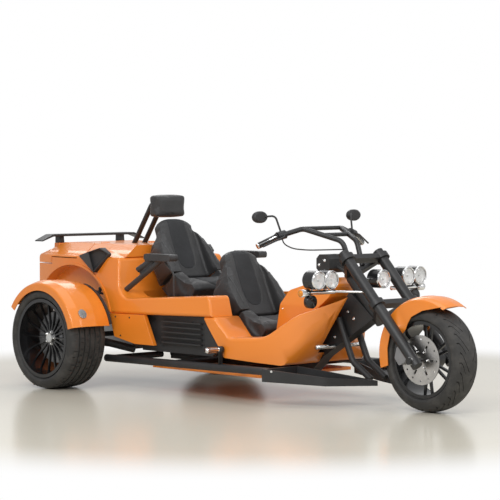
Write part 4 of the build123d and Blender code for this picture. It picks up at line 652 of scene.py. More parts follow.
def skin_of(mesh: bpy.types.Mesh) -> BVHTree:
    """A mesh's surface, for casting rays at.

    Args:
        mesh: The mesh.

    Returns:
        The surface.
    """
    spots = [spot.co for spot in mesh.vertices]
    return BVHTree.FromPolygons(spots, [list(face.vertices) for face in mesh.polygons])


def read_three(items: bpy.types.bpy_prop_collection, key: str) -> np.ndarray:
    """Read a three-part value of many vertices or faces.

    Args:
        items: The vertices or faces.
        key: The value's name.

    Returns:
        One row for each item.
    """
    flat = np.empty(len(items) * 3)
    items.foreach_get(key, flat)
    return flat.reshape(-1, 3)


def corners(shape: bmesh.types.BMesh) -> list[tuple[list, Vector, Vector]]:
    """Find the separate solids of a mesh.

    Args:
        shape: A merged mesh.

    Returns:
        Each solid's vertices with its lowest and highest corner.
    """
    left, found = set(shape.verts), []
    while left:
        ring = [left.pop()]
        solid = list(ring)
        while ring:
            near = {edge.other_vert(spot) for spot in ring for edge in spot.link_edges} & left
            left -= near
            ring = list(near)
            solid += ring
        spots = [vertex.co for vertex in solid]
        low = Vector([min(spot[axis] for spot in spots) for axis in range(3)])
        high = Vector([max(spot[axis] for spot in spots) for axis in range(3)])
        found.append((solid, low, high))
    return found


def merged(node: str) -> bmesh.types.BMesh:
    """A node's mesh with its doubles merged.

    Args:
        node: The node's name.

    Returns:
        The mesh, to be freed by whoever asked for it.
    """
    shape = bmesh.new()
    shape.from_mesh(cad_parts[node].data)
    bmesh.ops.remove_doubles(shape, verts=shape.verts, dist=MERGE_GAP)
    return shape


def solids_of(node: str) -> list[tuple[Vector, Vector]]:
    """The separate solids of a node, from the right to the left.

    Args:
        node: The node's name.

    Returns:
        Each solid's lowest and highest corner.
    """
    shape = merged(node)
    boxes = [(low, high) for _, low, high in corners(shape)]
    shape.free()
    return sorted(boxes, key=lambda box: (round(box[0].y, 4), round(box[0].x, 4)))


class Bench:
    """Moves for modelling by hand, shared by every piece."""

    @staticmethod
    def take(piece: bpy.types.Object) -> None:
        """Select one piece alone and make it active.

        Args:
            piece: The piece.
        """
        clear_selection()
        piece.select_set(True)
        bpy.context.view_layer.objects.active = piece

    @staticmethod
    def open(piece: bpy.types.Object, select: str = "SELECT") -> None:
        """Open a piece in edit mode.

        Args:
            piece: The piece.
            select: SELECT to start with all of it selected, DESELECT with none.
        """
        Bench.take(piece)
        bpy.ops.object.mode_set(mode="EDIT")
        bpy.ops.mesh.select_mode(type="VERT")
        bpy.ops.mesh.select_all(action=select)

    @staticmethod
    def pick(piece: bpy.types.Object, test: Callable[[Vector], bool]) -> None:
        """Select the faces that pass a test, in edit mode.

        Args:
            piece: The piece that is open.
            test: Takes a face's centre and says whether it is picked.
        """
        bpy.ops.mesh.select_mode(type="FACE")
        bpy.ops.mesh.select_all(action="DESELECT")
        shape = bmesh.from_edit_mesh(piece.data)
        for face in shape.faces:
            face.select_set(bool(test(face.calc_center_median())))
        bmesh.update_edit_mesh(piece.data)

    @staticmethod
    def raise_picked(height: float) -> None:
        """Raise the picked faces of the open piece along their normals.

        Args:
            height: How far, in metres; less than 0 sinks them.
        """
        bpy.ops.mesh.extrude_region_shrink_fatten(TRANSFORM_OT_shrink_fatten={"value": height})

    @staticmethod
    def close() -> None:
        """Go back to object mode."""
        bpy.ops.object.mode_set(mode="OBJECT")

    @staticmethod
    def clean(piece: bpy.types.Object, gap: float = 0.0001) -> None:
        """Merge a piece's doubles and turn its faces outwards.

        Args:
            piece: The piece.
            gap: How near doubles lie, in metres.
        """
        Bench.open(piece)
        bpy.ops.mesh.remove_doubles(threshold=gap)
        bpy.ops.mesh.normals_make_consistent(inside=False)
        Bench.close()

    @staticmethod
    def modify(piece: bpy.types.Object, kind: str, **settings: float | str | bool | bpy.types.Object) -> None:
        """Add one modifier and apply it.

        Args:
            piece: The piece.
            kind: The modifier's type.
            settings: The modifier's settings by name.
        """
        Bench.take(piece)
        change = piece.modifiers.new(kind.lower(), kind)
        for key, value in settings.items():
            setattr(change, key, value)
        bpy.ops.object.modifier_apply(modifier=change.name)

    @staticmethod
    def bevel(piece: bpy.types.Object, width: float, segments: int, angle: float) -> None:
        """Round the edges that are sharper than an angle.

        Args:
            piece: The piece.
            width: The rounding's width in millimetres.
            segments: The number of faces across it.
            angle: The angle in degrees.
        """
        Bench.modify(piece, "BEVEL", width=width / MM, segments=segments, limit_method="ANGLE",
                     angle_limit=math.radians(angle), use_clamp_overlap=True)

    @staticmethod
    def stand(piece: bpy.types.Object, place: Sequence[float], axis: Sequence[float]) -> None:
        """Move a piece made at the origin along +Z, in its mesh.

        Args:
            piece: The piece.
            place: Where its origin goes, in metres.
            axis: Where its +Z looks.
        """
        piece.data.transform(Matrix.Translation(Vector(place)) @ turn_to(axis))

    @staticmethod
    def turned(name: str, rings: Rings, place: Sequence[float] = ORIGIN, axis: Sequence[float] = UP,
               steps: int = 48) -> bpy.types.Object:
        """Turn a shape: a ring that is extruded and scaled from each station to the next.

        Args:
            name: The piece's name.
            rings: The radius and the distance along the axis of each ring, in millimetres.
            place: Where the distance 0 stands, in metres.
            axis: The direction of the axis.
            steps: The number of sides.

        Returns:
            The closed piece.
        """
        radii = [max(radius, Section.FINEST) / MM for radius, _ in rings]
        spots = [along / MM for _, along in rings]
        clear_selection()
        bpy.ops.mesh.primitive_circle_add(
            vertices=steps, radius=radii[0], fill_type="NOTHING", location=ORIGIN)
        piece = bpy.context.object
        piece.name = name
        Bench.open(piece)
        bpy.ops.transform.translate(value=(0.0, 0.0, spots[0]))
        for before, after, low, high in zip(radii, radii[1:], spots, spots[1:]):
            growth = after / before
            bpy.ops.mesh.extrude_region_move(TRANSFORM_OT_translate={"value": (0.0, 0.0, high - low)})
            bpy.ops.transform.resize(value=(growth, growth, 1.0), center_override=(0.0, 0.0, high))
        Bench.close()
        Bench.clean(piece)
        Bench.stand(piece, place, axis)
        return piece

    @staticmethod
    def tube(name: str, points: Iterable[Vector], radius: float) -> bpy.types.Object:
        """Run a round tube along a smooth line.

        Args:
            name: The piece's name.
            points: The line's control points, in metres.
            radius: The tube's radius in metres.

        Returns:
            The tube as a mesh.
        """
        spots = [tuple(point) for point in points]
        curve = bpy.data.curves.new(name, "CURVE")
        curve.dimensions = "3D"
        curve.bevel_depth = radius
        curve.bevel_resolution = 3
        curve.use_fill_caps = True
        curve.resolution_u = 4
        line = curve.splines.new("NURBS")
        line.points.add(len(spots) - 1)
        for knot, spot in zip(line.points, spots):
            knot.co = (*spot, 1.0)
        line.order_u = 3
        line.use_endpoint_u = True
        piece = bpy.data.objects.new(name, curve)
        bpy.context.scene.collection.objects.link(piece)
        Bench.take(piece)
        bpy.ops.object.convert(target="MESH")
        return bpy.context.object

    @staticmethod
    def copy_of(name: str, node: str,
                keep: Callable[[Vector, Vector], bool] | None = None) -> bpy.types.Object:
        """Copy a node's mesh and merge it.

        Args:
            name: The new piece's name.
            node: The node to copy.
            keep: Takes a solid's lowest and highest corner, and says whether it is kept; None keeps all.

        Returns:
            The merged copy.
        """
        mesh = bpy.data.meshes.new(name)
        shape = merged(node)
        if keep is not None:
            for solid, low, high in corners(shape):
                if not keep(low, high):
                    bmesh.ops.delete(shape, geom=solid, context="VERTS")
        shape.to_mesh(mesh)
        shape.free()
        piece = bpy.data.objects.new(name, mesh)
        bpy.context.scene.collection.objects.link(piece)
        return piece

    @staticmethod
    def spread(name: str, pattern: bpy.types.Object, places: Iterable[Matrix]) -> bpy.types.Object:
        """Copy a pattern to many places, each with its own mesh, and join the copies.

        Args:
            name: The joined piece's name.
            pattern: The piece to copy, made at the origin; it is used up.
            places: One matrix for each copy.

        Returns:
            The joined piece.
        """
        copies = []
        for place in places:
            mesh = pattern.data.copy()
            mesh.transform(place)
            copies.append(bpy.data.objects.new(name, mesh))
            bpy.context.scene.collection.objects.link(copies[-1])
        bpy.data.objects.remove(pattern)
        return Bench.join(name, copies)

    @staticmethod
    def join(name: str, parts: Sequence[bpy.types.Object]) -> bpy.types.Object:
        """Join pieces into one.

        Args:
            name: The joined piece's name.
            parts: The pieces.

        Returns:
            The joined piece.
        """
        clear_selection()
        for part in parts:
            part.select_set(True)
        bpy.context.view_layer.objects.active = parts[0]
        bpy.ops.object.join()
        parts[0].name = name
        return parts[0]

    @staticmethod
    def round_the_axis(place: Vector, axis: Point, radius: float, count: int) -> list[Matrix]:
        """The places of copies on a circle about an axis.

        Args:
            place: The circle's centre.
            axis: The direction that a copy's +Z takes.
            radius: The circle's radius in millimetres.
            count: The number of copies.

        Returns:
            One matrix for each copy.
        """
        out = Matrix.Translation((radius / MM, 0.0, 0.0))
        start = Matrix.Translation(place) @ turn_to(axis)
        angles = [math.tau * index / count for index in range(count)]
        return [start @ Matrix.Rotation(angle, 4, "Z") @ out for angle in angles]


@dataclass
class Workshop:
    """Hands each finished piece its material and body, and hides the nodes that it stands for."""

    finishes: Finishes
    count: int = 0

    def lay_out(self, piece: bpy.types.Object, *names: str) -> None:
        """Give a piece several materials, to be picked face by face.

        Args:
            piece: The piece.
            names: The finishes' names.
        """
        for name in names:
            piece.data.materials.append(self.finishes[name])

    def hand_over(self, piece: bpy.types.Object, finish: str, body: Body, slot: str, *nodes: str,
                  smooth: float = 32.0) -> None:
        """Dress a piece and set it on its body.

        Args:
            piece: The finished piece.
            finish: The finish's name.
            body: The body that it rides on.
            slot: Not used.
            nodes: The CAD nodes that it stands for.
            smooth: The largest angle, in degrees, over which faces are shaded as one.
        """
        Bench.take(piece)
        bpy.ops.object.shade_smooth_by_angle(angle=math.radians(smooth))
        if not piece.data.materials:
            piece.data.materials.append(self.finishes[finish])
        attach(piece, body.value)
        for node in nodes:
            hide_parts(node)
        self.count += 1
        LOG.info("%s on %s", piece.name, body.value)


@dataclass(frozen=True)
class Shell:
    """A node that is carried over as a merged copy; its edges are rounded where an edge width is given, and a
    plain one keeps its faces and normals as they are.
    """

    node: str
    finish: str
    body: Body
    slot: str
    edge: float = 0.0
    plain: bool = False


@dataclass
class Shells:
    """The shells, tubes and castings of the trike, with their edges softened."""

    shop: Workshop
    range: tuple[Shell, ...] = (
        Shell("rear_body", "orange_paint", Body.CHASSIS, "body_paint", 2.0),
        Shell("trunk_lid", "orange_paint", Body.LID, "body_paint", 2.0),
        Shell("nose_body", "orange_paint", Body.CHASSIS, "body_paint", plain=True),
        Shell("tank_cover", "orange_paint", Body.CHASSIS, "body_paint", 3.0),
        Shell("flank_panels", "orange_paint", Body.CHASSIS, "body_paint", 2.0),
        Shell("belly_pan", "orange_paint", Body.CHASSIS, "body_paint", 2.0),
        Shell("rear_fenders", "orange_paint", Body.CHASSIS, "body_paint", plain=True),
        Shell("front_fender", "orange_paint", Body.STEERING, "body_paint", plain=True),
        Shell("flank_intakes", "dark_plastic", Body.CHASSIS, "dark_plastic", 1.0),
        Shell("spoiler", "satin_black", Body.LID, "satin_black", 3.0),
        Shell("headrest_hoop", "satin_black", Body.CHASSIS, "satin_black"),
        Shell("frame_spine", "frame_black", Body.CHASSIS, "frame_black", 2.0),
        Shell("frame_rails", "frame_black", Body.CHASSIS, "frame_black"),
        Shell("down_tubes", "frame_black", Body.CHASSIS, "frame_black"),
        Shell("footboards", "frame_black", Body.CHASSIS, "frame_black", 2.0),
        Shell("seat_pedestals", "frame_black", Body.CHASSIS, "frame_black", 2.0),
        Shell("rear_suspension", "frame_black", Body.CHASSIS, "frame_black"),
        Shell("engine_block", "cast_alloy", Body.CHASSIS, "engine_alloy", 6.0),
        Shell("exhaust", "brushed_steel", Body.CHASSIS, "bright_chrome", 2.0),
        Shell("fork_legs", "satin_black", Body.STEERING, "satin_black"),
        Shell("fork_yokes", "satin_black", Body.STEERING, "satin_black", 2.0),
        Shell("handlebar", "satin_black", Body.STEERING, "satin_black"),
        Shell("hand_controls", "satin_black", Body.STEERING, "satin_black", 2.0),
        Shell("lamp_bars", "bright_chrome", Body.STEERING, "bright_chrome"),
        Shell("lamp_housings", "gloss_black", Body.STEERING, "satin_black", 1.5),
        Shell("dash_pod", "dark_plastic", Body.STEERING, "dark_plastic", 4.0),
        Shell("mirrors", "dark_plastic", Body.STEERING, "dark_plastic"),
        Shell("brake_caliper", "cast_alloy", Body.STEERING, "satin_black", 2.0),
        Shell("control_cable", "grip_rubber", Body.STEERING, "cable_rubber"),
        Shell("front_rim", "gloss_black", Body.FRONT_WHEEL, "rim_black", 0.8),
        Shell("front_disc", "disc_steel", Body.FRONT_WHEEL, "disc_steel", 0.5),
        Shell("rear_rim_right", "gloss_black", Body.REAR_RIGHT, "rim_black", 0.8),
        Shell("rear_rim_left", "gloss_black", Body.REAR_LEFT, "rim_black", 0.8),
        Shell("tail_lamps", "red_lens", Body.CHASSIS, "red_lens", 2.0),
        Shell("fender_reflectors", "brushed_steel", Body.CHASSIS, "reflector_silver", 1.0),
    )
    front_axle: Point = (2593.0, 0.0, 310.0)
    cut_turn: float = 63.0
    cut_near: float = 200.0
    cut_far: float = 352.5
    cut_ahead: float = 120.0
    cut_width: float = 400.0
    flatness: float = 0.4
    soft_edge: float = 42.0

    def trim_fender(self, piece: bpy.types.Object) -> None:
        """Cut the front fender's sides back to its crown ahead of the wheel.

        Args:
            piece: The front fender.
        """
        clear_selection()
        bpy.ops.mesh.primitive_cube_add(size=1.0, location=ORIGIN)
        cutter = bpy.context.object
        angle = math.radians(self.cut_turn)
        out = Vector((math.cos(angle), 0.0, math.sin(angle)))
        fore = Vector((math.sin(angle), 0.0, -math.cos(angle)))
        reach = (self.cut_near + self.cut_far) / 2.0
        middle = at(*self.front_axle) + out * reach / MM + fore * self.cut_ahead / 2.0 / MM
        turn = Matrix((out, Vector(LEFT), fore)).transposed().to_4x4()
        lengths = (self.cut_far - self.cut_near, self.cut_width, self.cut_ahead)
        size = Matrix.Diagonal((*(length / MM for length in lengths), 1.0))
        cutter.data.transform(Matrix.Translation(middle) @ turn @ size)
        Bench.clean(cutter)
        Bench.modify(piece, "BOOLEAN", operation="DIFFERENCE", solver="EXACT", object=cutter)
        bpy.data.objects.remove(cutter)

    def build(self) -> None:
        """Copy, merge, soften and dress every shell."""
        for shell in self.range:
            piece = Bench.copy_of(f"{shell.node}_skin", shell.node)
            if shell.node == "front_fender":
                self.trim_fender(piece)
            if not shell.plain:
                Bench.open(piece)
                bpy.ops.mesh.dissolve_limited(angle_limit=math.radians(self.flatness))
                Bench.close()
            if shell.edge:
                Bench.bevel(piece, shell.edge, segments=2, angle=self.soft_edge)
            self.shop.hand_over(piece, shell.finish, shell.body, shell.slot, shell.node)
            if not shell.plain:
                Bench.modify(piece, "WEIGHTED_NORMAL", keep_sharp=True)


class Section:
    """Sections of the round pieces: each ring's radius and its distance along the axis, in millimetres."""

    FINEST = 0.04
    LUG_NUT = ((9.5, 0.0), (9.5, 2.0), (7.6, 2.4), (7.6, 10.0), (6.0, 12.0), (2.0, 12.6), (0.0, 12.6))
    HUB_CAP = (
        (31.0, 0.0), (31.5, 10.0), (30.5, 15.5), (28.0, 17.0), (25.0, 16.0), (23.0, 15.6), (12.0, 16.6),
        (0.0, 17.0))
    BRAKE_DISC = (
        (44.0, 0.0), (44.0, -24.0), (62.0, -24.0), (78.0, -34.0), (78.0, -36.0), (165.0, -36.0),
        (166.0, -37.0), (166.0, -45.0), (165.0, -46.0), (70.0, -46.0), (58.0, -34.0), (44.0, -34.0),
        (30.0, -34.0), (30.0, 0.0), (44.0, 0.0))
    VALVE = ((4.0, 0.0), (4.0, 10.0), (2.6, 12.0), (2.6, 24.0), (3.6, 24.5), (3.6, 32.0), (0.0, 33.0))
    DISC_BOLT = ((6.5, 0.0), (6.5, 4.0), (5.2, 5.2), (2.6, 5.2), (2.4, 2.6), (0.0, 2.6))
    AXLE_NUT = (
        (24.0, 0.0), (24.0, 3.0), (17.0, 3.4), (17.0, 11.0), (14.0, 13.5), (7.0, 14.0), (6.0, 9.0),
        (0.0, 9.0))
    STITCH = ((0.3, -2.3), (0.75, -1.6), (0.8, 0.0), (0.75, 1.6), (0.3, 2.3))
    LAMP_BOWL = (
        (46.5, -1.5), (44.0, -4.0), (38.0, -7.6), (30.0, -10.4), (20.0, -12.2), (11.0, -13.0),
        (0.0, -13.0), (0.0, -13.8), (46.5, -13.8), (46.5, -1.5))
    LAMP_RIM = (
        (48.0, -2.0), (49.0, 2.6), (51.4, 4.2), (54.0, 3.4), (56.2, 0.4), (56.6, -7.0), (48.0, -7.0),
        (48.0, -2.0))
    LAMP_LENS = (
        (47.6, -1.4), (47.6, 0.6), (42.0, 3.2), (34.0, 5.2), (24.0, 6.8), (12.0, 7.7), (0.0, 8.0),
        (0.0, 6.6), (12.0, 6.2), (24.0, 5.2), (34.0, 3.6), (42.0, 1.4), (46.0, -1.4), (47.6, -1.4))
    LAMP_BULB = ((7.0, -12.9), (7.0, -9.0), (4.6, -8.4), (5.6, -6.0), (5.2, -2.8), (3.2, -0.9), (0.0, -0.3))
    SIGNAL_DOME = ((21.0, -0.5), (21.0, 2.0), (18.0, 5.4), (10.0, 7.6), (0.0, 8.2))
    TAIL_RING = ((45.0, -0.5), (45.6, 2.6), (47.8, 3.6), (50.6, 2.6), (51.4, -0.5), (45.0, -0.5))
    TAIL_BEAD = ((30.0, -0.5), (30.6, 1.6), (33.0, 1.6), (33.6, -0.5), (30.0, -0.5))
    GRIP_COLLAR = ((16.0, 0.0), (21.5, 0.4), (22.0, 4.0), (21.5, 7.6), (17.6, 8.0), (17.0, 10.0))
    GRIP_END = ((17.0, -10.0), (18.4, -8.0), (18.6, -2.0), (16.0, 0.0), (0.0, 0.0))
    PEG_SLEEVE = ((14.1, 508.0), (16.0, 508.6), (16.0, 594.0), (14.1, 594.6), (14.1, 508.0))
    GAUGE_RING = (
        (33.0, -1.0), (33.0, 3.0), (35.5, 5.4), (38.5, 4.4), (40.0, 0.0), (39.0, -1.0), (33.0, -1.0))
    GAUGE_DIAL = ((0.0, 0.6), (31.0, 0.6), (33.2, 2.2), (33.2, -0.6), (0.0, -0.6))
    GAUGE_TICK = ((0.7, -3.0), (0.7, 3.0), (0.0, 3.0))
    GAUGE_NEEDLE = ((0.6, 25.0), (1.5, 0.0), (2.2, -5.0), (0.0, -5.0))
    MIRROR_FACE = ((0.0, 1.6), (0.9, 1.4), (1.0, 0.4), (1.0, -0.2), (0.0, -0.2))
    WASHER_SHARES = ((1.6, -1.0), (1.6, 1.2), (1.45, 1.8), (1.0, 1.8))
    SOCKET_HEAD_SHARES = ((1.0, 0.9), (0.86, 1.1), (0.5, 1.1), (0.46, 0.55), (0.0, 0.55))
    REAR_TYRE = (
        (320.5, 0.0), (320.5, 5.6), (329.0, 7.2), (329.0, 21.0), (329.0, 34.6), (320.5, 36.2),
        (320.5, 47.8), (328.9, 49.4), (328.7, 63.0), (328.1, 77.0), (319.8, 78.6), (319.4, 89.2),
        (327.1, 90.8), (326.2, 100.0), (325.0, 110.0), (323.0, 120.0), (320.2, 127.0), (316.2, 133.0),
        (311.2, 138.0), (305.0, 141.6), (297.5, 145.0), (291.0, 147.6), (285.0, 148.8), (282.6, 149.0),
        (281.6, 147.6), (279.6, 147.6), (278.6, 148.4), (273.0, 147.0), (268.6, 144.4), (264.0, 138.0),
        (260.0, 130.0), (256.5, 124.0), (243.0, 124.0))
    FRONT_TYRE = (
        (310.0, 0.0), (309.9, 9.0), (309.4, 18.0), (308.6, 27.0), (307.2, 36.0), (305.4, 45.0),
        (303.0, 54.0), (299.8, 63.0), (295.6, 70.0), (290.2, 76.0), (284.6, 80.5), (278.0, 84.0),
        (270.0, 87.4), (262.5, 90.0), (256.0, 92.0), (251.0, 92.9), (250.0, 91.6), (247.6, 91.4),
        (246.4, 92.4), (241.0, 91.6), (235.0, 88.0), (230.4, 80.0), (228.0, 72.0), (226.0, 66.5),
        (216.0, 66.5))


@dataclass(frozen=True)
class Band:
    """A band of cross grooves: its reach across the tyre, and which face columns are cut."""

    low: float
    high: float
    period: int
    start: int


@dataclass
class Tyre:
    """A road tyre with its section, its round grooves and its cross grooves."""

    shop: Workshop
    node: str
    body: Body
    centre: Point
    section: Rings
    steps: int
    bands: tuple[Band, ...]
    margin: float
    depth: float
    sweep: float = 0.0
    sweep_power: float = 1.35

    def is_cut(self, spot: Vector) -> bool:
        """Whether a face belongs to a cross groove.

        Args:
            spot: The face's centre.

        Returns:
            True for a groove's face.
        """
        across, column = spot.z * MM, sector(spot, self.steps)
        return any(band.low < across < band.high and column % band.period == band.start
                   for band in self.bands)

    def swirl(self, piece: bpy.types.Object) -> None:
        """Sweep the cross grooves back towards the shoulders.

        Args:
            piece: The tyre.
        """
        reach = self.section[-1][1]
        for spot in piece.data.vertices:
            share = min(1.0, abs(spot.co.z) * MM / reach)
            spot.co.rotate(Matrix.Rotation(-self.sweep * share ** self.sweep_power, 3, "Z"))

    def build(self) -> None:
        """Turn the carcass, cut the cross grooves and stand the tyre on its axle."""
        half = list(self.section)
        rings = [(radius, -across) for radius, across in reversed(half)] + half[1:]
        tyre = Bench.turned(f"{self.node}_tread", rings + rings[:1], steps=self.steps)
        Bench.open(tyre)
        Bench.pick(tyre, self.is_cut)
        bpy.ops.mesh.inset(thickness=self.margin / MM, use_boundary=True)
        Bench.raise_picked(-self.depth / MM)
        Bench.close()
        if self.sweep:
            self.swirl(tyre)
        Bench.stand(tyre, at(*self.centre), LEFT)
        self.shop.hand_over(tyre, "tyre_rubber", self.body, "tyre_rubber", self.node, smooth=28.0)


@dataclass
class Wheels:
    """The three tyres, and the nuts, caps, discs and valves of their rims."""

    shop: Workshop
    front: Point = (2593.0, 0.0, 310.0)
    rear_across: float = 731.0
    rear_height: float = 329.0
    nut_circle: float = 40.0
    nut_count: int = 5
    nut_out: float = 61.0
    valve_out: float = 86.0
    valve_reach: float = 226.0
    valve_turn: float = 0.35
    disc_bolt_across: float = -94.0
    disc_bolt_circle: float = 52.0
    disc_bolt_count: int = 6
    axle_half: float = 183.0
    rear_bands: tuple[Band, ...] = (
        Band(91.0, 125.0, 3, 0), Band(49.0, 77.5, 3, 1), Band(7.0, 35.0, 3, 2),
        Band(-35.0, -7.0, 3, 0), Band(-77.5, -49.0, 3, 1), Band(-125.0, -91.0, 3, 2))
    front_bands: tuple[Band, ...] = (
        Band(10.0, 78.0, 8, 0), Band(-78.0, -10.0, 8, 4), Band(36.0, 82.0, 8, 4), Band(-82.0, -36.0, 8, 0))

    def dress_rear(self, side: float, body: Body, word: str) -> None:
        """Set the nuts, the cap ring, the brake disc and the valve on one rear rim.

        Args:
            side: -1 for the right wheel and 1 for the left one.
            body: The wheel's body.
            word: The side's word in the pieces' names.
        """
        axis = (0.0, side, 0.0)
        hub = at(0.0, side * (self.rear_across + self.nut_out), self.rear_height)
        nut = Bench.turned("nut", Section.LUG_NUT, steps=6)
        places = Bench.round_the_axis(hub, axis, self.nut_circle, self.nut_count)
        nuts = Bench.spread(f"lug_nuts_{word}", nut, places)
        self.shop.hand_over(nuts, "bright_chrome", body, "bright_chrome", smooth=20.0)
        cap = Bench.turned(f"hub_cap_{word}", Section.HUB_CAP, hub, axis)
        self.shop.hand_over(cap, "brushed_steel", body, "bright_chrome")
        disc = Bench.turned(f"brake_disc_{word}", Section.BRAKE_DISC, hub, axis, steps=64)
        self.shop.hand_over(disc, "cast_alloy", body, "disc_steel")
        valve = Bench.turned("valve", Section.VALVE, steps=12)
        spot = Matrix.Translation(at(0.0, side * (self.rear_across + self.valve_out), self.rear_height))
        up = Matrix.Translation((0.0, 0.0, self.valve_reach / MM))
        inward = Matrix.Rotation(math.pi, 4, "X")
        place = spot @ Matrix.Rotation(self.valve_turn, 4, "Y") @ up @ inward
        valve = Bench.spread(f"tyre_valve_{word}", valve, [place])
        self.shop.hand_over(valve, "bright_chrome", body, "bright_chrome")

    def dress_front(self) -> None:
        """Set the disc's bolts and the axle nuts of the front wheel."""
        x, _, z = self.front
        bolt = Bench.turned("bolt", Section.DISC_BOLT, steps=12)
        middle = at(x, self.disc_bolt_across, z)
        places = Bench.round_the_axis(middle, (0.0, -1.0, 0.0), self.disc_bolt_circle, self.disc_bolt_count)
        bolts = Bench.spread("disc_bolts", bolt, places)
        self.shop.hand_over(bolts, "bright_chrome", Body.FRONT_WHEEL, "bright_chrome", smooth=25.0)
        nuts = []
        for side in SIDES:
            place = at(x, side * self.axle_half, z)
            nuts.append(Bench.turned("axle_nut", Section.AXLE_NUT, place, (0.0, side, 0.0), steps=24))
        nuts = Bench.join("axle_nuts", nuts)
        self.shop.hand_over(nuts, "brushed_steel", Body.STEERING, "bright_chrome", smooth=25.0)

    def build(self) -> None:
        """Build the tyres and dress the rims."""
        for side, body, word in zip(SIDES, (Body.REAR_RIGHT, Body.REAR_LEFT), ("right", "left")):
            centre = (0.0, side * self.rear_across, self.rear_height)
            Tyre(self.shop, f"rear_tyre_{word}", body, centre, Section.REAR_TYRE, 150, self.rear_bands,
                 margin=4.2, depth=6.0).build()
            self.dress_rear(side, body, word)
        Tyre(self.shop, "front_tyre", Body.FRONT_WHEEL, self.front, Section.FRONT_TYRE, 128, self.front_bands,
             margin=3.3, depth=7.0, sweep=0.42).build()
        self.dress_front()


@dataclass(frozen=True)
class SeatFrame:
    """A seat's own axes: across, up the back and forward, from the hip."""

    hip: tuple[float, float]
    height: float
    lean: tuple[float, float] = (-0.3251, 0.9457)

    def out(self, across: float, up: float, fore: float) -> Vector:
        """A place in the frame for one in the seat, in millimetres."""
        x = self.hip[0] + self.lean[0] * up + self.lean[1] * fore
        z = self.hip[1] + self.lean[1] * up - self.lean[0] * fore
        return at(x, across, z)

    def forward(self) -> Vector:
        """The way that the backrest faces."""
        return Vector((self.lean[1], 0.0, -self.lean[0]))

    def upward(self) -> Vector:
        """The way up the backrest."""
        return Vector((self.lean[0], 0.0, self.lean[1]))

    def inside(self, spots: np.ndarray) -> np.ndarray:
        """Places in the frame as across, up and fore in the seat, in millimetres."""
        x = spots[:, 0] * MM + REAR_AXLE_BACK - self.hip[0]
        z = spots[:, 2] * MM - self.hip[1]
        up = x * self.lean[0] + z * self.lean[1]
        fore = x * self.lean[1] - z * self.lean[0]
        return np.stack([spots[:, 1] * MM, up, fore], axis=1)


@dataclass
class Pad:
    """One padded piece: its CAD node, how it is blown up and how far a point may move, in metres."""

    name: str
    node: str
    voxel: float
    cap: float
    shrink: float = 0.004
    piece: bpy.types.Object | None = None
    rest: np.ndarray | None = None

    def spots(self) -> np.ndarray:
        """The places of the piece's vertices, in metres."""
        return read_three(self.piece.data.vertices, "co")

    def normals(self) -> np.ndarray:
        """The directions in which the piece's vertices face."""
        return read_three(self.piece.data.vertices, "normal")

    def place(self, spots: np.ndarray) -> None:
        """Move the piece's vertices to new places, in metres."""
        self.piece.data.vertices.foreach_set("co", spots.ravel())
        self.piece.data.update()

    def start(self) -> None:
        """Copy the CAD shape, draw it in a little and give it an even mesh."""
        self.piece = Bench.copy_of(self.name, self.node)
        Bench.take(self.piece)
        self.piece.data.remesh_voxel_size = self.voxel
        bpy.ops.object.voxel_remesh()
        Bench.modify(self.piece, "SMOOTH", factor=0.6, iterations=5)
        self.rest = self.spots() - self.normals() * self.shrink
        self.place(self.rest)

    def round_top(self, axes: SeatFrame, share: float = 0.62, drop: float = 0.2, reach: float = 190.0,
                  widest: float = 1.2, power: float = 2.8, most: float = 0.62) -> None:
        """Round a backrest's top: the further across a point lies, the lower it comes.

        Args:
            axes: The seat's own axes.
            share: Where the rounding starts, as a share of the height.
            drop: How far the shoulders come down, as a share of the height.
            reach: How far across the shoulders lie.
            widest: How far past the shoulders the rounding still grows, as a share of the reach.
            power: How suddenly the shoulders fall.
            most: The largest share of a point's rise that it loses.
        """
        local = axes.inside(self.rest)
        rise = np.clip(local[:, 1] - share * axes.height, 0.0, None)
        across = np.clip(np.abs(local[:, 0]) / reach, 0.0, widest)
        lowered = rise * np.clip(drop / (1.0 - share) * across ** power, 0.0, most)
        self.rest = self.rest - np.outer(lowered / MM, np.array(axes.upward()))
        self.place(self.rest)

    def load_cloth(self, frames: int) -> None:
        """Make the piece cloth with air inside and no weight.

        Args:
            frames: How many frames it has to settle.
        """
        cloth = self.piece.modifiers.new("stuffing", "CLOTH")
        cloth.settings.use_pressure = True
        cloth.settings.uniform_pressure_force = 4.0
        cloth.settings.quality = 4
        cloth.settings.bending_stiffness = 2.0
        cloth.settings.effector_weights.gravity = 0.0
        cloth.point_cache.frame_start = 1
        cloth.point_cache.frame_end = frames

    def settle(self) -> None:
        """Apply the cloth, hold each point within the cap and round the mesh once."""
        if "stuffing" in self.piece.modifiers:
            Bench.take(self.piece)
            bpy.ops.object.modifier_apply(modifier="stuffing")
            moved = self.spots() - self.rest
            far = np.linalg.norm(moved, axis=1, keepdims=True)
            self.place(self.rest + moved * np.minimum(1.0, self.cap / np.maximum(far, 1e-9)))
        Bench.modify(self.piece, "SUBSURF", levels=1, render_levels=1)

    def dress(self, shop: Workshop) -> None:
        """Hand the finished piece over in leather.

        Args:
            shop: The workshop.
        """
        shop.hand_over(self.piece, "seat_leather", Body.CHASSIS, "seat_leather", self.node, smooth=70.0)


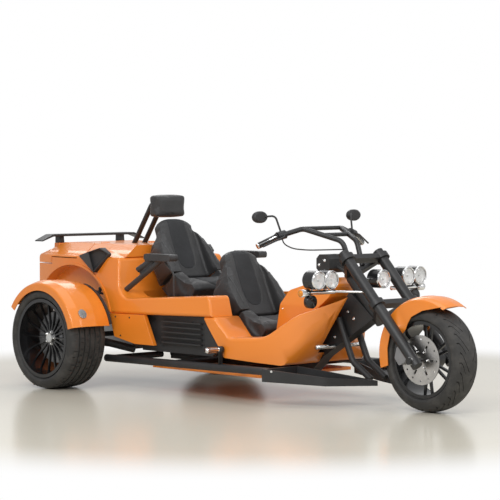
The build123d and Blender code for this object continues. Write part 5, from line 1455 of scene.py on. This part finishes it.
@dataclass
class Seat:
    """A bucket seat: backrest, cushion, seams, piping and stitches."""

    shop: Workshop
    word: str
    axes: SeatFrame
    back_side: Rings = (
        (66.0, 1.06), (70.0, 0.9), (76.0, 0.7), (78.0, 0.5), (73.0, 0.36), (58.0, 0.27), (32.0, 0.225))
    back_foot: float = 0.215
    cushion_side: Rings = ((84.0, 0.12), (90.0, 0.3), (88.0, 0.5), (78.0, 0.62), (50.0, 0.69))
    cushion_foot: float = 0.71
    seam_width: float = 3.2
    seam_depth: float = 3.6
    facing_least: float = 0.15
    facing_fade: float = 0.3
    stitch_shift: float = 6.5
    stitch_top: float = 0.97
    stitch_lift: float = 0.0002
    ray_start: float = 400.0
    piping_ups: tuple[float, ...] = (0.86, 0.8, 0.72, 0.64, 0.56, 0.48, 0.4, 0.33, 0.27, 0.22)
    piping_start: float = 420.0
    piping_lift: float = 0.0008
    piping_radius: float = 0.0028
    pads: list[Pad] = field(default_factory=list)

    def plan(self) -> list[Pad]:
        """The seat's padded pieces, ready to be blown up."""
        self.pads = [Pad(f"{self.word}_{part}_pad", f"{self.word}_{part}", 0.0085, 0.010)
                     for part in ("backrest", "cushion")]
        return self.pads

    def outline(self, side: Rings, foot: float) -> Line:
        """A centre panel's outline, mirrored from one side: open at one end and round at the other.

        Args:
            side: How far across each corner lies and how far along the seat, as a share of its height.
            foot: Where the outline crosses the middle, as a share of the height.

        Returns:
            The outline's corners, in millimetres.
        """
        height = self.axes.height
        right = [(-across, share * height) for across, share in side]
        left = [(across, share * height) for across, share in reversed(side)]
        return right + [(0.0, foot * height)] + left

    def back_seam(self) -> Line:
        """The centre panel's outline on the backrest, as across and up."""
        return self.outline(self.back_side, self.back_foot)

    def front_seam(self) -> Line:
        """The centre panel's outline on the cushion, as across and fore."""
        return self.outline(self.cushion_side, self.cushion_foot)

    @staticmethod
    def nearness(flat: np.ndarray, line: Line) -> np.ndarray:
        """How far each flat place is from a line of straight runs, in millimetres."""
        best = np.full(len(flat), 1e9)
        for (x0, y0), (x1, y1) in zip(line, line[1:]):
            run = np.array([x1 - x0, y1 - y0])
            offset = flat - np.array([x0, y0])
            share = np.clip(offset @ run / (run @ run), 0.0, 1.0)
            best = np.minimum(best, np.linalg.norm(offset - share[:, None] * run, axis=1))
        return best

    def sew(self, pad: Pad, line: Line, columns: tuple[int, int], facing: Vector) -> None:
        """Press a seam into a pad where it faces one way.

        Args:
            pad: The pad.
            line: The seam, on the seat's flat view.
            columns: Which two of across, up and fore the flat view shows.
            facing: The way that the sewn side faces.
        """
        spots, normals = pad.spots(), pad.normals()
        flat = self.axes.inside(spots)[:, list(columns)]
        toward = np.clip((normals @ np.array(facing) - self.facing_least) / self.facing_fade, 0.0, 1.0)
        groove = np.exp(-(self.nearness(flat, line) / self.seam_width) ** 2) * self.seam_depth / MM
        pad.place(spots - normals * (groove * toward)[:, None])

    def panel(self, pad: Pad, line: Line, columns: tuple[int, int], facing: Vector) -> None:
        """Give the faces inside a seam the centre panel's fabric.

        Args:
            pad: The pad.
            line: The seam, on the seat's flat view.
            columns: Which two of across, up and fore the flat view shows.
            facing: The way that the panel faces.
        """
        mesh = pad.piece.data
        self.shop.lay_out(pad.piece, "seat_leather", "seat_fabric")
        flat = self.axes.inside(read_three(mesh.polygons, "center"))[:, list(columns)]
        toward = read_three(mesh.polygons, "normal") @ np.array(facing) > self.facing_least
        outline = np.array(line)
        inside = np.zeros(len(flat), dtype=bool)
        for (x0, y0), (x1, y1) in zip(outline, np.roll(outline, -1, axis=0)):
            crosses = (y0 > flat[:, 1]) != (y1 > flat[:, 1])
            with np.errstate(divide="ignore", invalid="ignore"):
                edge = x0 + (flat[:, 1] - y0) * (x1 - x0) / (y1 - y0 if y1 != y0 else 1e-9)
            inside ^= crosses & (flat[:, 0] < edge)
        mesh.polygons.foreach_set("material_index", (inside & toward).astype(np.int32))

    @staticmethod
    def trace(tree: BVHTree, starts: Iterable[Vector], way: Vector, lift: float) -> list[Vector]:
        """Drop points onto a pad along one direction.

        Args:
            tree: The pad's surface.
            starts: The points, well outside the pad.
            way: The direction they fall in.
            lift: How far they stay off the surface, in metres.

        Returns:
            The points on the surface.
        """
        found = []
        for start in starts:
            spot, normal, _, _ = tree.ray_cast(start, way)
            if spot is not None:
                found.append(spot + normal * lift)
        return found

    @staticmethod
    def stitches(points: list[Vector], gap: float = 0.0075) -> bpy.types.Object:
        """A row of short stitches along a line of points.

        Args:
            points: The line on the surface.
            gap: The distance from one stitch to the next, in metres.

        Returns:
            The joined stitches.
        """
        pattern = Bench.turned("stitch", Section.STITCH, steps=6)
        places, walked = [], 0.0
        for start, end in zip(points, points[1:]):
            run = end - start
            way = run.normalized()
            while walked < run.length:
                places.append(Matrix.Translation(start + way * walked) @ turn_to(way))
                walked += gap
            walked -= run.length
        return Bench.spread("stitch_row", pattern, places)

    @staticmethod
    def along(line: Line, shift: float, step: float = 9.0) -> Line:
        """A seam's line in short even steps, moved outwards by a shift.

        Args:
            line: The seam's corners, in millimetres.
            shift: How far the line moves, in millimetres.
            step: The length of a step, in millimetres.

        Returns:
            The moved line.
        """
        dense = []
        for (x0, y0), (x1, y1) in zip(line, line[1:]):
            run_x, run_y = x1 - x0, y1 - y0
            length = math.hypot(run_x, run_y)
            count = max(1, round(length / step))
            move_x, move_y = run_y / length * shift, -run_x / length * shift
            dense += [(x0 + run_x * part / count + move_x, y0 + run_y * part / count + move_y)
                      for part in range(count)]
        return dense + [line[-1]]

    def piping_across(self, up: float, narrow: float = 172.0, spread: float = 14.0, top: float = 0.9,
                      fall: float = 150.0) -> float:
        """How far across the piping lies at a height, in millimetres.

        Args:
            up: The height in the seat, in millimetres.
            narrow: How far across it starts at the top.
            spread: How much further it ends.
            top: Where it starts to spread, as a share of the seat's height.
            fall: How far down it has spread in full.

        Returns:
            The distance from the middle.
        """
        return narrow + spread * min(1.0, (top * self.axes.height - up) / fall)

    def trim(self) -> None:
        """Lay the stitches beside the seams and the piping on the wings' front edges."""
        height, out = self.axes.height, self.axes.out
        forward, upward = self.axes.forward(), self.axes.upward()
        back, cushion = [skin_of(pad.piece.data) for pad in self.pads]
        rows = []
        for shift in (self.stitch_shift, -self.stitch_shift):
            starts = [out(across, min(up, self.stitch_top * height), self.ray_start)
                      for across, up in self.along(self.back_seam(), shift)]
            rows.append(self.stitches(self.trace(back, starts, -forward, self.stitch_lift)))
            starts = [out(across, self.ray_start, fore)
                      for across, fore in self.along(self.front_seam(), shift)]
            rows.append(self.stitches(self.trace(cushion, starts, -upward, self.stitch_lift)))
        self.shop.hand_over(Bench.join(f"{self.word}_stitches", rows), "thread", Body.CHASSIS, "seat_leather")
        for side, word in zip(SIDES, ("right", "left")):
            ups = [share * height for share in self.piping_ups]
            starts = [out(side * self.piping_across(up), up, self.piping_start) for up in ups]
            line = self.trace(back, starts, -forward, self.piping_lift)
            piping = Bench.tube(f"{self.word}_piping_{word}", line, self.piping_radius)
            self.shop.hand_over(piping, "piping", Body.CHASSIS, "seat_leather", smooth=60.0)

    def finish(self) -> None:
        """Sew, panel, trim and dress the blown-up pads."""
        backrest, cushion = self.pads
        back = (backrest, self.back_seam(), (0, 1), self.axes.forward())
        front = (cushion, self.front_seam(), (0, 2), self.axes.upward())
        for move in (self.sew, self.panel):
            move(*back)
            move(*front)
        self.trim()
        for pad in self.pads:
            pad.dress(self.shop)


@dataclass
class Upholstery:
    """Both seats and the headrest, blown up together, and the armrests, smoothed without being blown up."""

    shop: Workshop
    frames: int = 20

    def build(self) -> None:
        """Blow up every pad but the armrests in one run of the clock, then finish each."""
        seats = [
            Seat(self.shop, "driver", SeatFrame((1040.0, 420.0), 505.3)),
            Seat(self.shop, "passenger", SeatFrame((404.0, 640.0), 478.8)),
        ]
        headrest = Pad("passenger_headrest_pad", "passenger_headrest", 0.007, 0.0045, 0.002)
        rests = Pad("armrest_pads", "armrests", 0.0045, 0.005, 0.003)
        pads = [pad for seat in seats for pad in seat.plan()] + [headrest, rests]
        for pad in pads:
            pad.start()
        for seat in seats:
            seat.pads[0].round_top(seat.axes)
        for pad in pads[:-1]:
            pad.load_cloth(self.frames)
        for number in range(1, self.frames + 1):
            bpy.context.scene.frame_set(number)
        for pad in pads:
            pad.settle()
        bpy.context.scene.frame_set(1)
        for seat in seats:
            seat.finish()
        for pad in (headrest, rests):
            pad.dress(self.shop)


@dataclass
class Lamps:
    """The five round lamps with glass, bowls, bulbs and rims; the signals, horns and tail lamps."""

    shop: Workshop
    signal: Point = (2046.0, 534.0, 694.0)
    horn_height: float = 0.06

    def build(self) -> None:
        """Build every lamp where the frame's glasses stand."""
        bowls, rims, lenses, bulbs = [], [], [], []
        for low, high in solids_of("lamp_glasses"):
            centre = (low + high) / 2.0
            centre.x = high.x
            bowls.append(Bench.turned("bowl", Section.LAMP_BOWL, centre, AHEAD, 24))
            rims.append(Bench.turned("rim", Section.LAMP_RIM, centre, AHEAD))
            lenses.append(Bench.turned("lens", Section.LAMP_LENS, centre, AHEAD))
            bulbs.append(Bench.turned("bulb", Section.LAMP_BULB, centre, AHEAD, 16))
        steering, hand_over = Body.STEERING, self.shop.hand_over
        hand_over(Bench.join("lamp_bowls", bowls), "bowl_silver", steering, "bright_chrome", smooth=8.0)
        hand_over(Bench.join("lamp_rims", rims), "bright_chrome", steering, "bright_chrome")
        hand_over(Bench.join("lamp_bulbs", bulbs), "bulb_glass", steering, "clear_glass")
        hand_over(Bench.join("lamp_lenses", lenses), "clear_glass", steering, "clear_glass", "lamp_glasses")
        self.signals()
        self.tail()

    def is_horn(self, low: Vector, high: Vector) -> bool:
        """Whether a solid of the signals' node is a horn.

        Args:
            low: Its lowest corner.
            high: Its highest corner.

        Returns:
            True for a horn, which is taller than a signal.
        """
        return high.z - low.z > self.horn_height

    def signals(self) -> None:
        """Part the horns from the turn signals, and give these bright shells and amber faces."""
        node, hand_over = "signals_and_horns", self.shop.hand_over
        horns = Bench.copy_of("horns", node, self.is_horn)
        hand_over(horns, "gloss_black", Body.STEERING, "satin_black", node)
        shells = Bench.copy_of("signal_shells", node, lambda low, high: not self.is_horn(low, high))
        hand_over(shells, "bright_chrome", Body.STEERING, "bright_chrome", node)
        x, y, z = self.signal
        domes = [Bench.turned("dome", Section.SIGNAL_DOME, at(x, side * y, z), (0.0, side, 0.0), 32)
                 for side in SIDES]
        hand_over(Bench.join("signal_domes", domes), "amber_lens", Body.STEERING, "clear_glass")

    def tail(self) -> None:
        """Set a bright ring and a red bead on each tail lamp."""
        rings, beads = [], []
        for low, high in solids_of("tail_lamps"):
            centre = (low + high) / 2.0
            centre.x = low.x
            rings.append(Bench.turned("ring", Section.TAIL_RING, centre, BEHIND))
            beads.append(Bench.turned("bead", Section.TAIL_BEAD, centre, BEHIND))
        rings, beads = Bench.join("tail_lamp_rings", rings), Bench.join("tail_lamp_beads", beads)
        self.shop.hand_over(rings, "bright_chrome", Body.CHASSIS, "bright_chrome")
        self.shop.hand_over(beads, "red_lens", Body.CHASSIS, "red_lens")


@dataclass
class Cockpit:
    """The grips, mirror faces, gauge and pegs that hands and feet meet; lengths here are in metres."""

    shop: Workshop
    grip_inner: Point = (1646.0, 338.0, 1014.0)
    grip_outer: Point = (1598.0, 460.0, 956.0)
    grip_steps: int = 36
    grip_rib: float = 0.0016
    peg_axle: Point = (1293.0, 0.0, 314.0)
    peg_steps: int = 32
    peg_margin: float = 0.0006
    peg_rib: float = 0.0012
    post_height: float = 0.298
    post_across: float = 0.502
    post_ahead: float = 0.4
    gauge_place: Point = (1720.0, 0.0, 850.0)
    tick_count: int = 11
    tick_first: float = -130.0
    tick_step: float = 26.0
    tick_reach: float = 0.0265
    tick_lift: float = 0.0012
    needle_lift: float = 0.0022
    needle_turn: float = -1.9
    mirror: Point = (1559.6, 410.0, 1132.0)
    mirror_half: tuple[float, float] = (33.0, 54.0)
    mirror_above: float = 1.15

    def grips(self) -> None:
        """Turn each grip and raise lengthwise rubber ribs on its bright sleeve."""
        parts = []
        for side in SIDES:
            inner, outer = (at(x, side * y, z) for x, y, z in (self.grip_inner, self.grip_outer))
            run = outer - inner
            length = run.length * MM
            end = tuple((radius, length + along) for radius, along in Section.GRIP_END)
            grip = Bench.turned("grip", Section.GRIP_COLLAR + end, steps=self.grip_steps)
            self.shop.lay_out(grip, "bright_chrome", "grip_rubber")
            Bench.open(grip)
            Bench.pick(grip, lambda spot: 0.0125 < spot.z < (length - 12.0) / MM
                       and sector(spot, self.grip_steps) % 3 != 0)
            Bench.raise_picked(self.grip_rib)
            Bench.close()
            for face in grip.data.polygons:
                spot = face.center
                ribbed = 0.012 < spot.z < (length - 11.5) / MM and math.hypot(spot.x, spot.y) > 0.0172
                face.material_index = int(ribbed or spot.z < 0.009)
            Bench.stand(grip, inner, run)
            parts.append(grip)
        grips = Bench.join("ribbed_grips", parts)
        self.shop.hand_over(grips, "grip_rubber", Body.STEERING, "grip_rubber", "hand_grips")

    def is_post(self, spot: Vector) -> bool:
        """Whether a face of the pegs belongs to their black posts.

        Args:
            spot: The face's centre.

        Returns:
            True for a post's face.
        """
        return spot.z < self.post_height or abs(spot.y) < self.post_across and spot.x < self.post_ahead

    def pegs(self) -> None:
        """Blacken the pegs' posts and slip a ribbed bright sleeve over each passenger peg."""
        pegs = Bench.copy_of("peg_posts", "foot_pegs")
        self.shop.lay_out(pegs, "bright_chrome", "frame_black")
        for face in pegs.data.polygons:
            face.material_index = int(self.is_post(face.center))
        self.shop.hand_over(pegs, "bright_chrome", Body.CHASSIS, "bright_chrome", "foot_pegs")
        sleeves = []
        for side in SIDES:
            sleeve = Bench.turned("peg", Section.PEG_SLEEVE, steps=self.peg_steps)
            self.shop.lay_out(sleeve, "bright_chrome", "grip_rubber")
            Bench.open(sleeve)
            Bench.pick(sleeve, lambda spot: math.hypot(spot.x, spot.y) > 0.0155 and 0.51 < spot.z < 0.592
                       and sector(spot, self.peg_steps) % 4 < 2)
            bpy.ops.mesh.inset(thickness=self.peg_margin, use_boundary=True)
            Bench.raise_picked(self.peg_rib)
            Bench.close()
            for face in sleeve.data.polygons:
                face.material_index = int(math.hypot(face.center.x, face.center.y) > 0.0166)
            Bench.stand(sleeve, at(*self.peg_axle), (0.0, side, 0.0))
            sleeves.append(sleeve)
        sleeves = Bench.join("peg_sleeves", sleeves)
        self.shop.hand_over(sleeves, "bright_chrome", Body.CHASSIS, "bright_chrome")

    def gauge(self) -> None:
        """Sink a round gauge with a bright ring, a dial, ticks and a needle into the pod's rear face."""
        centre, hand_over = at(*self.gauge_place), self.shop.hand_over
        ring = Bench.turned("gauge_ring", Section.GAUGE_RING, centre, BEHIND)
        hand_over(ring, "bright_chrome", Body.STEERING, "bright_chrome")
        dial = Bench.turned("gauge_dial", Section.GAUGE_DIAL, centre, BEHIND)
        hand_over(dial, "gloss_black", Body.STEERING, "dark_plastic")
        tick = Bench.turned("tick", Section.GAUGE_TICK, steps=4)
        middle = Matrix.Translation(centre + Vector((-self.tick_lift, 0.0, 0.0)))
        out = Matrix.Translation((0.0, 0.0, self.tick_reach))
        turns = [math.radians(self.tick_first + self.tick_step * step) for step in range(self.tick_count)]
        places = [middle @ Matrix.Rotation(turn, 4, "X") @ out for turn in turns]
        ticks = Bench.spread("gauge_ticks", tick, places)
        hand_over(ticks, "bulb_glass", Body.STEERING, "clear_glass")
        needle = Bench.turned("gauge_needle", Section.GAUGE_NEEDLE, steps=6)
        place = Matrix.Translation(centre + Vector((-self.needle_lift, 0.0, 0.0)))
        needle = Bench.spread("gauge_needle", needle, [place @ Matrix.Rotation(self.needle_turn, 4, "X")])
        hand_over(needle, "red_lens", Body.STEERING, "red_lens")

    def mirrors(self) -> None:
        """Lay a silvered oval on the rider's side of each mirror."""
        x, y, z = self.mirror
        glasses = []
        for low, high in solids_of("mirrors"):
            if high.z < self.mirror_above:
                continue
            side = 1.0 if low.y > 0.0 else -1.0
            glass = Bench.turned("mirror_glass", Section.MIRROR_FACE, steps=40)
            glass.data.transform(Matrix.Diagonal((*self.mirror_half, 1.0, 1.0)))
            Bench.stand(glass, at(x, side * y, z), BEHIND)
            glasses.append(glass)
        faces = Bench.join("mirror_faces", glasses)
        self.shop.hand_over(faces, "mirror_glass", Body.STEERING, "bright_chrome")

    def build(self) -> None:
        """Build everything that the rider touches or looks at."""
        self.grips()
        self.pegs()
        self.gauge()
        self.mirrors()


@dataclass
class Scoops:
    """Five-sided air scoops: a flank that rises outwards and a sunk mouth ahead of it."""

    shop: Workshop
    corners: tuple[Point, ...] = (
        (-117.0, 466.0, 850.0), (36.0, 510.0, 881.0), (134.0, 492.0, 909.0), (201.0, 466.0, 869.0),
        (87.0, 506.0, 744.0))
    root: float = 440.0
    rim: float = 0.007
    well: tuple[float, float] = (-0.030, 0.014)
    crest: int = 1
    low: int = 4
    mouth_reach: float = 4.0

    def raise_flank(self, side: float) -> tuple[bpy.types.Object, list[Vector], dict[int, int]]:
        """Raise a five-sided face off the body and set its corners.

        Args:
            side: -1 for the right side and 1 for the left one.

        Returns:
            The solid, its outer corners and the index of the vertex at each of them.
        """
        clear_selection()
        bpy.ops.mesh.primitive_circle_add(
            vertices=len(self.corners), radius=self.rim, fill_type="NGON", location=ORIGIN)
        scoop = bpy.context.object
        feet = [at(x, side * self.root, z) for x, _, z in self.corners]
        heads = [at(x, side * y, z) for x, y, z in self.corners]
        for spot, place in zip(scoop.data.vertices, feet):
            spot.co = place
        Bench.open(scoop)
        bpy.ops.mesh.extrude_region_move(TRANSFORM_OT_translate={"value": (0.0, side * self.rim, 0.0)})
        Bench.close()
        raised = {}
        for spot in [vertex for vertex in scoop.data.vertices if vertex.select]:
            nearest = min(range(len(feet)), key=lambda number: (feet[number] - spot.co).length)
            spot.co = heads[nearest]
            raised[nearest] = spot.index
        return scoop, heads, raised

    def scoop(self, side: float) -> bpy.types.Object:
        """Shape one scoop: its flank cut in two, the front part inset and sunk.

        Args:
            side: -1 for the right side and 1 for the left one.

        Returns:
            The scoop.
        """
        scoop, heads, raised = self.raise_flank(side)
        Bench.open(scoop, "DESELECT")
        shape = bmesh.from_edit_mesh(scoop.data)
        shape.verts.ensure_lookup_table()
        for number in (self.crest, self.low):
            shape.verts[raised[number]].select_set(True)
        bmesh.update_edit_mesh(scoop.data)
        bpy.ops.mesh.vert_connect()
        bpy.ops.mesh.select_all(action="SELECT")
        bpy.ops.mesh.normals_make_consistent(inside=False)
        mouth = heads[self.crest:self.low + 1]
        front = sum(mouth, Vector()) / len(mouth)
        Bench.pick(scoop, lambda spot: (spot - front).length < self.mouth_reach * self.rim)
        bpy.ops.mesh.inset(thickness=self.rim)
        back, inward = self.well
        bpy.ops.mesh.extrude_region_move(TRANSFORM_OT_translate={"value": (back, -side * inward, 0.0)})
        Bench.close()
        Bench.bevel(scoop, 3.0, segments=3, angle=12.0)
        return scoop

    def build(self) -> None:
        """Join both scoops and hand them over."""
        pods = Bench.join("scoop_pods", [self.scoop(side) for side in SIDES])
        self.shop.hand_over(pods, "dark_plastic", Body.CHASSIS, "dark_plastic", "air_scoops", smooth=35.0)


@dataclass(frozen=True)
class BoltRow:
    """Bolts on both sides of a node: rays from far out look for their seats at given x and z."""

    name: str
    node: str
    spots: tuple[tuple[float, float], ...]
    size: float
    finish: str
    out: float = 700.0
    body: Body = Body.CHASSIS


@dataclass
class Fasteners:
    """The bright and dark bolts, with their washers, that hold the panels."""

    shop: Workshop
    rows: tuple[BoltRow, ...] = (
        BoltRow("board_bolts", "footboards", ((1780.0, 214.0), (1960.0, 206.0), (2140.0, 196.0)),
                4.5, "bright_chrome"),
        BoltRow("flank_bolts", "flank_panels", ((330.0, 470.0), (470.0, 470.0), (380.0, 350.0)),
                3.6, "satin_black"),
        BoltRow("intake_bolts", "flank_intakes",
                ((640.0, 466.0), (1000.0, 466.0), (700.0, 318.0), (1040.0, 318.0)), 3.6, "satin_black"),
        BoltRow("spine_bolts", "frame_spine",
                ((1900.0, 470.0), (1960.0, 560.0), (2010.0, 520.0), (1850.0, 400.0)), 6.0, "bright_chrome",
                out=300.0),
        BoltRow("tank_bolts", "tank_cover", ((1500.0, 560.0), (1860.0, 690.0)), 4.0, "bright_chrome",
                out=400.0),
        BoltRow("pod_bolts", "dash_pod", ((1745.0, 838.0), (1792.0, 866.0)), 6.0, "bright_chrome", out=300.0,
                body=Body.STEERING),
    )

    @staticmethod
    def seats(row: BoltRow) -> list[Matrix]:
        """Find where rays meet a row's node, so that its bolts seat on it.

        Args:
            row: The row.

        Returns:
            Each bolt's place, turned to the surface's own direction there.
        """
        tree = skin_of(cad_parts[row.node].data)
        found = []
        for side in SIDES:
            for x, z in row.spots:
                spot, normal, _, _ = tree.ray_cast(at(x, side * row.out, z), Vector((0.0, -side, 0.0)))
                if spot is not None:
                    found.append(Matrix.Translation(spot) @ turn_to(normal))
        return found

    def build(self) -> None:
        """Set every row of socket-head bolts."""
        for row in self.rows:
            washer = [(row.size * radius, along) for radius, along in Section.WASHER_SHARES]
            head = [(row.size * radius, row.size * along) for radius, along in Section.SOCKET_HEAD_SHARES]
            bolts = Bench.spread(row.name, Bench.turned("bolt", washer + head, steps=18), self.seats(row))
            self.shop.hand_over(bolts, row.finish, row.body, row.finish, smooth=30.0)


def main() -> None:
    """Build the studio and dress the trike."""
    logging.basicConfig(level=logging.INFO, format="%(name)s: %(message)s")
    Studio().build()
    shop = Workshop(Finishes())
    for kind in (Shells, Wheels, Upholstery, Lamps, Cockpit, Scoops, Fasteners):
        kind(shop).build()
        LOG.info("%s done", kind.__name__)
    LOG.info("pieces: %d", shop.count)


if __name__ == "__main__":
    main()
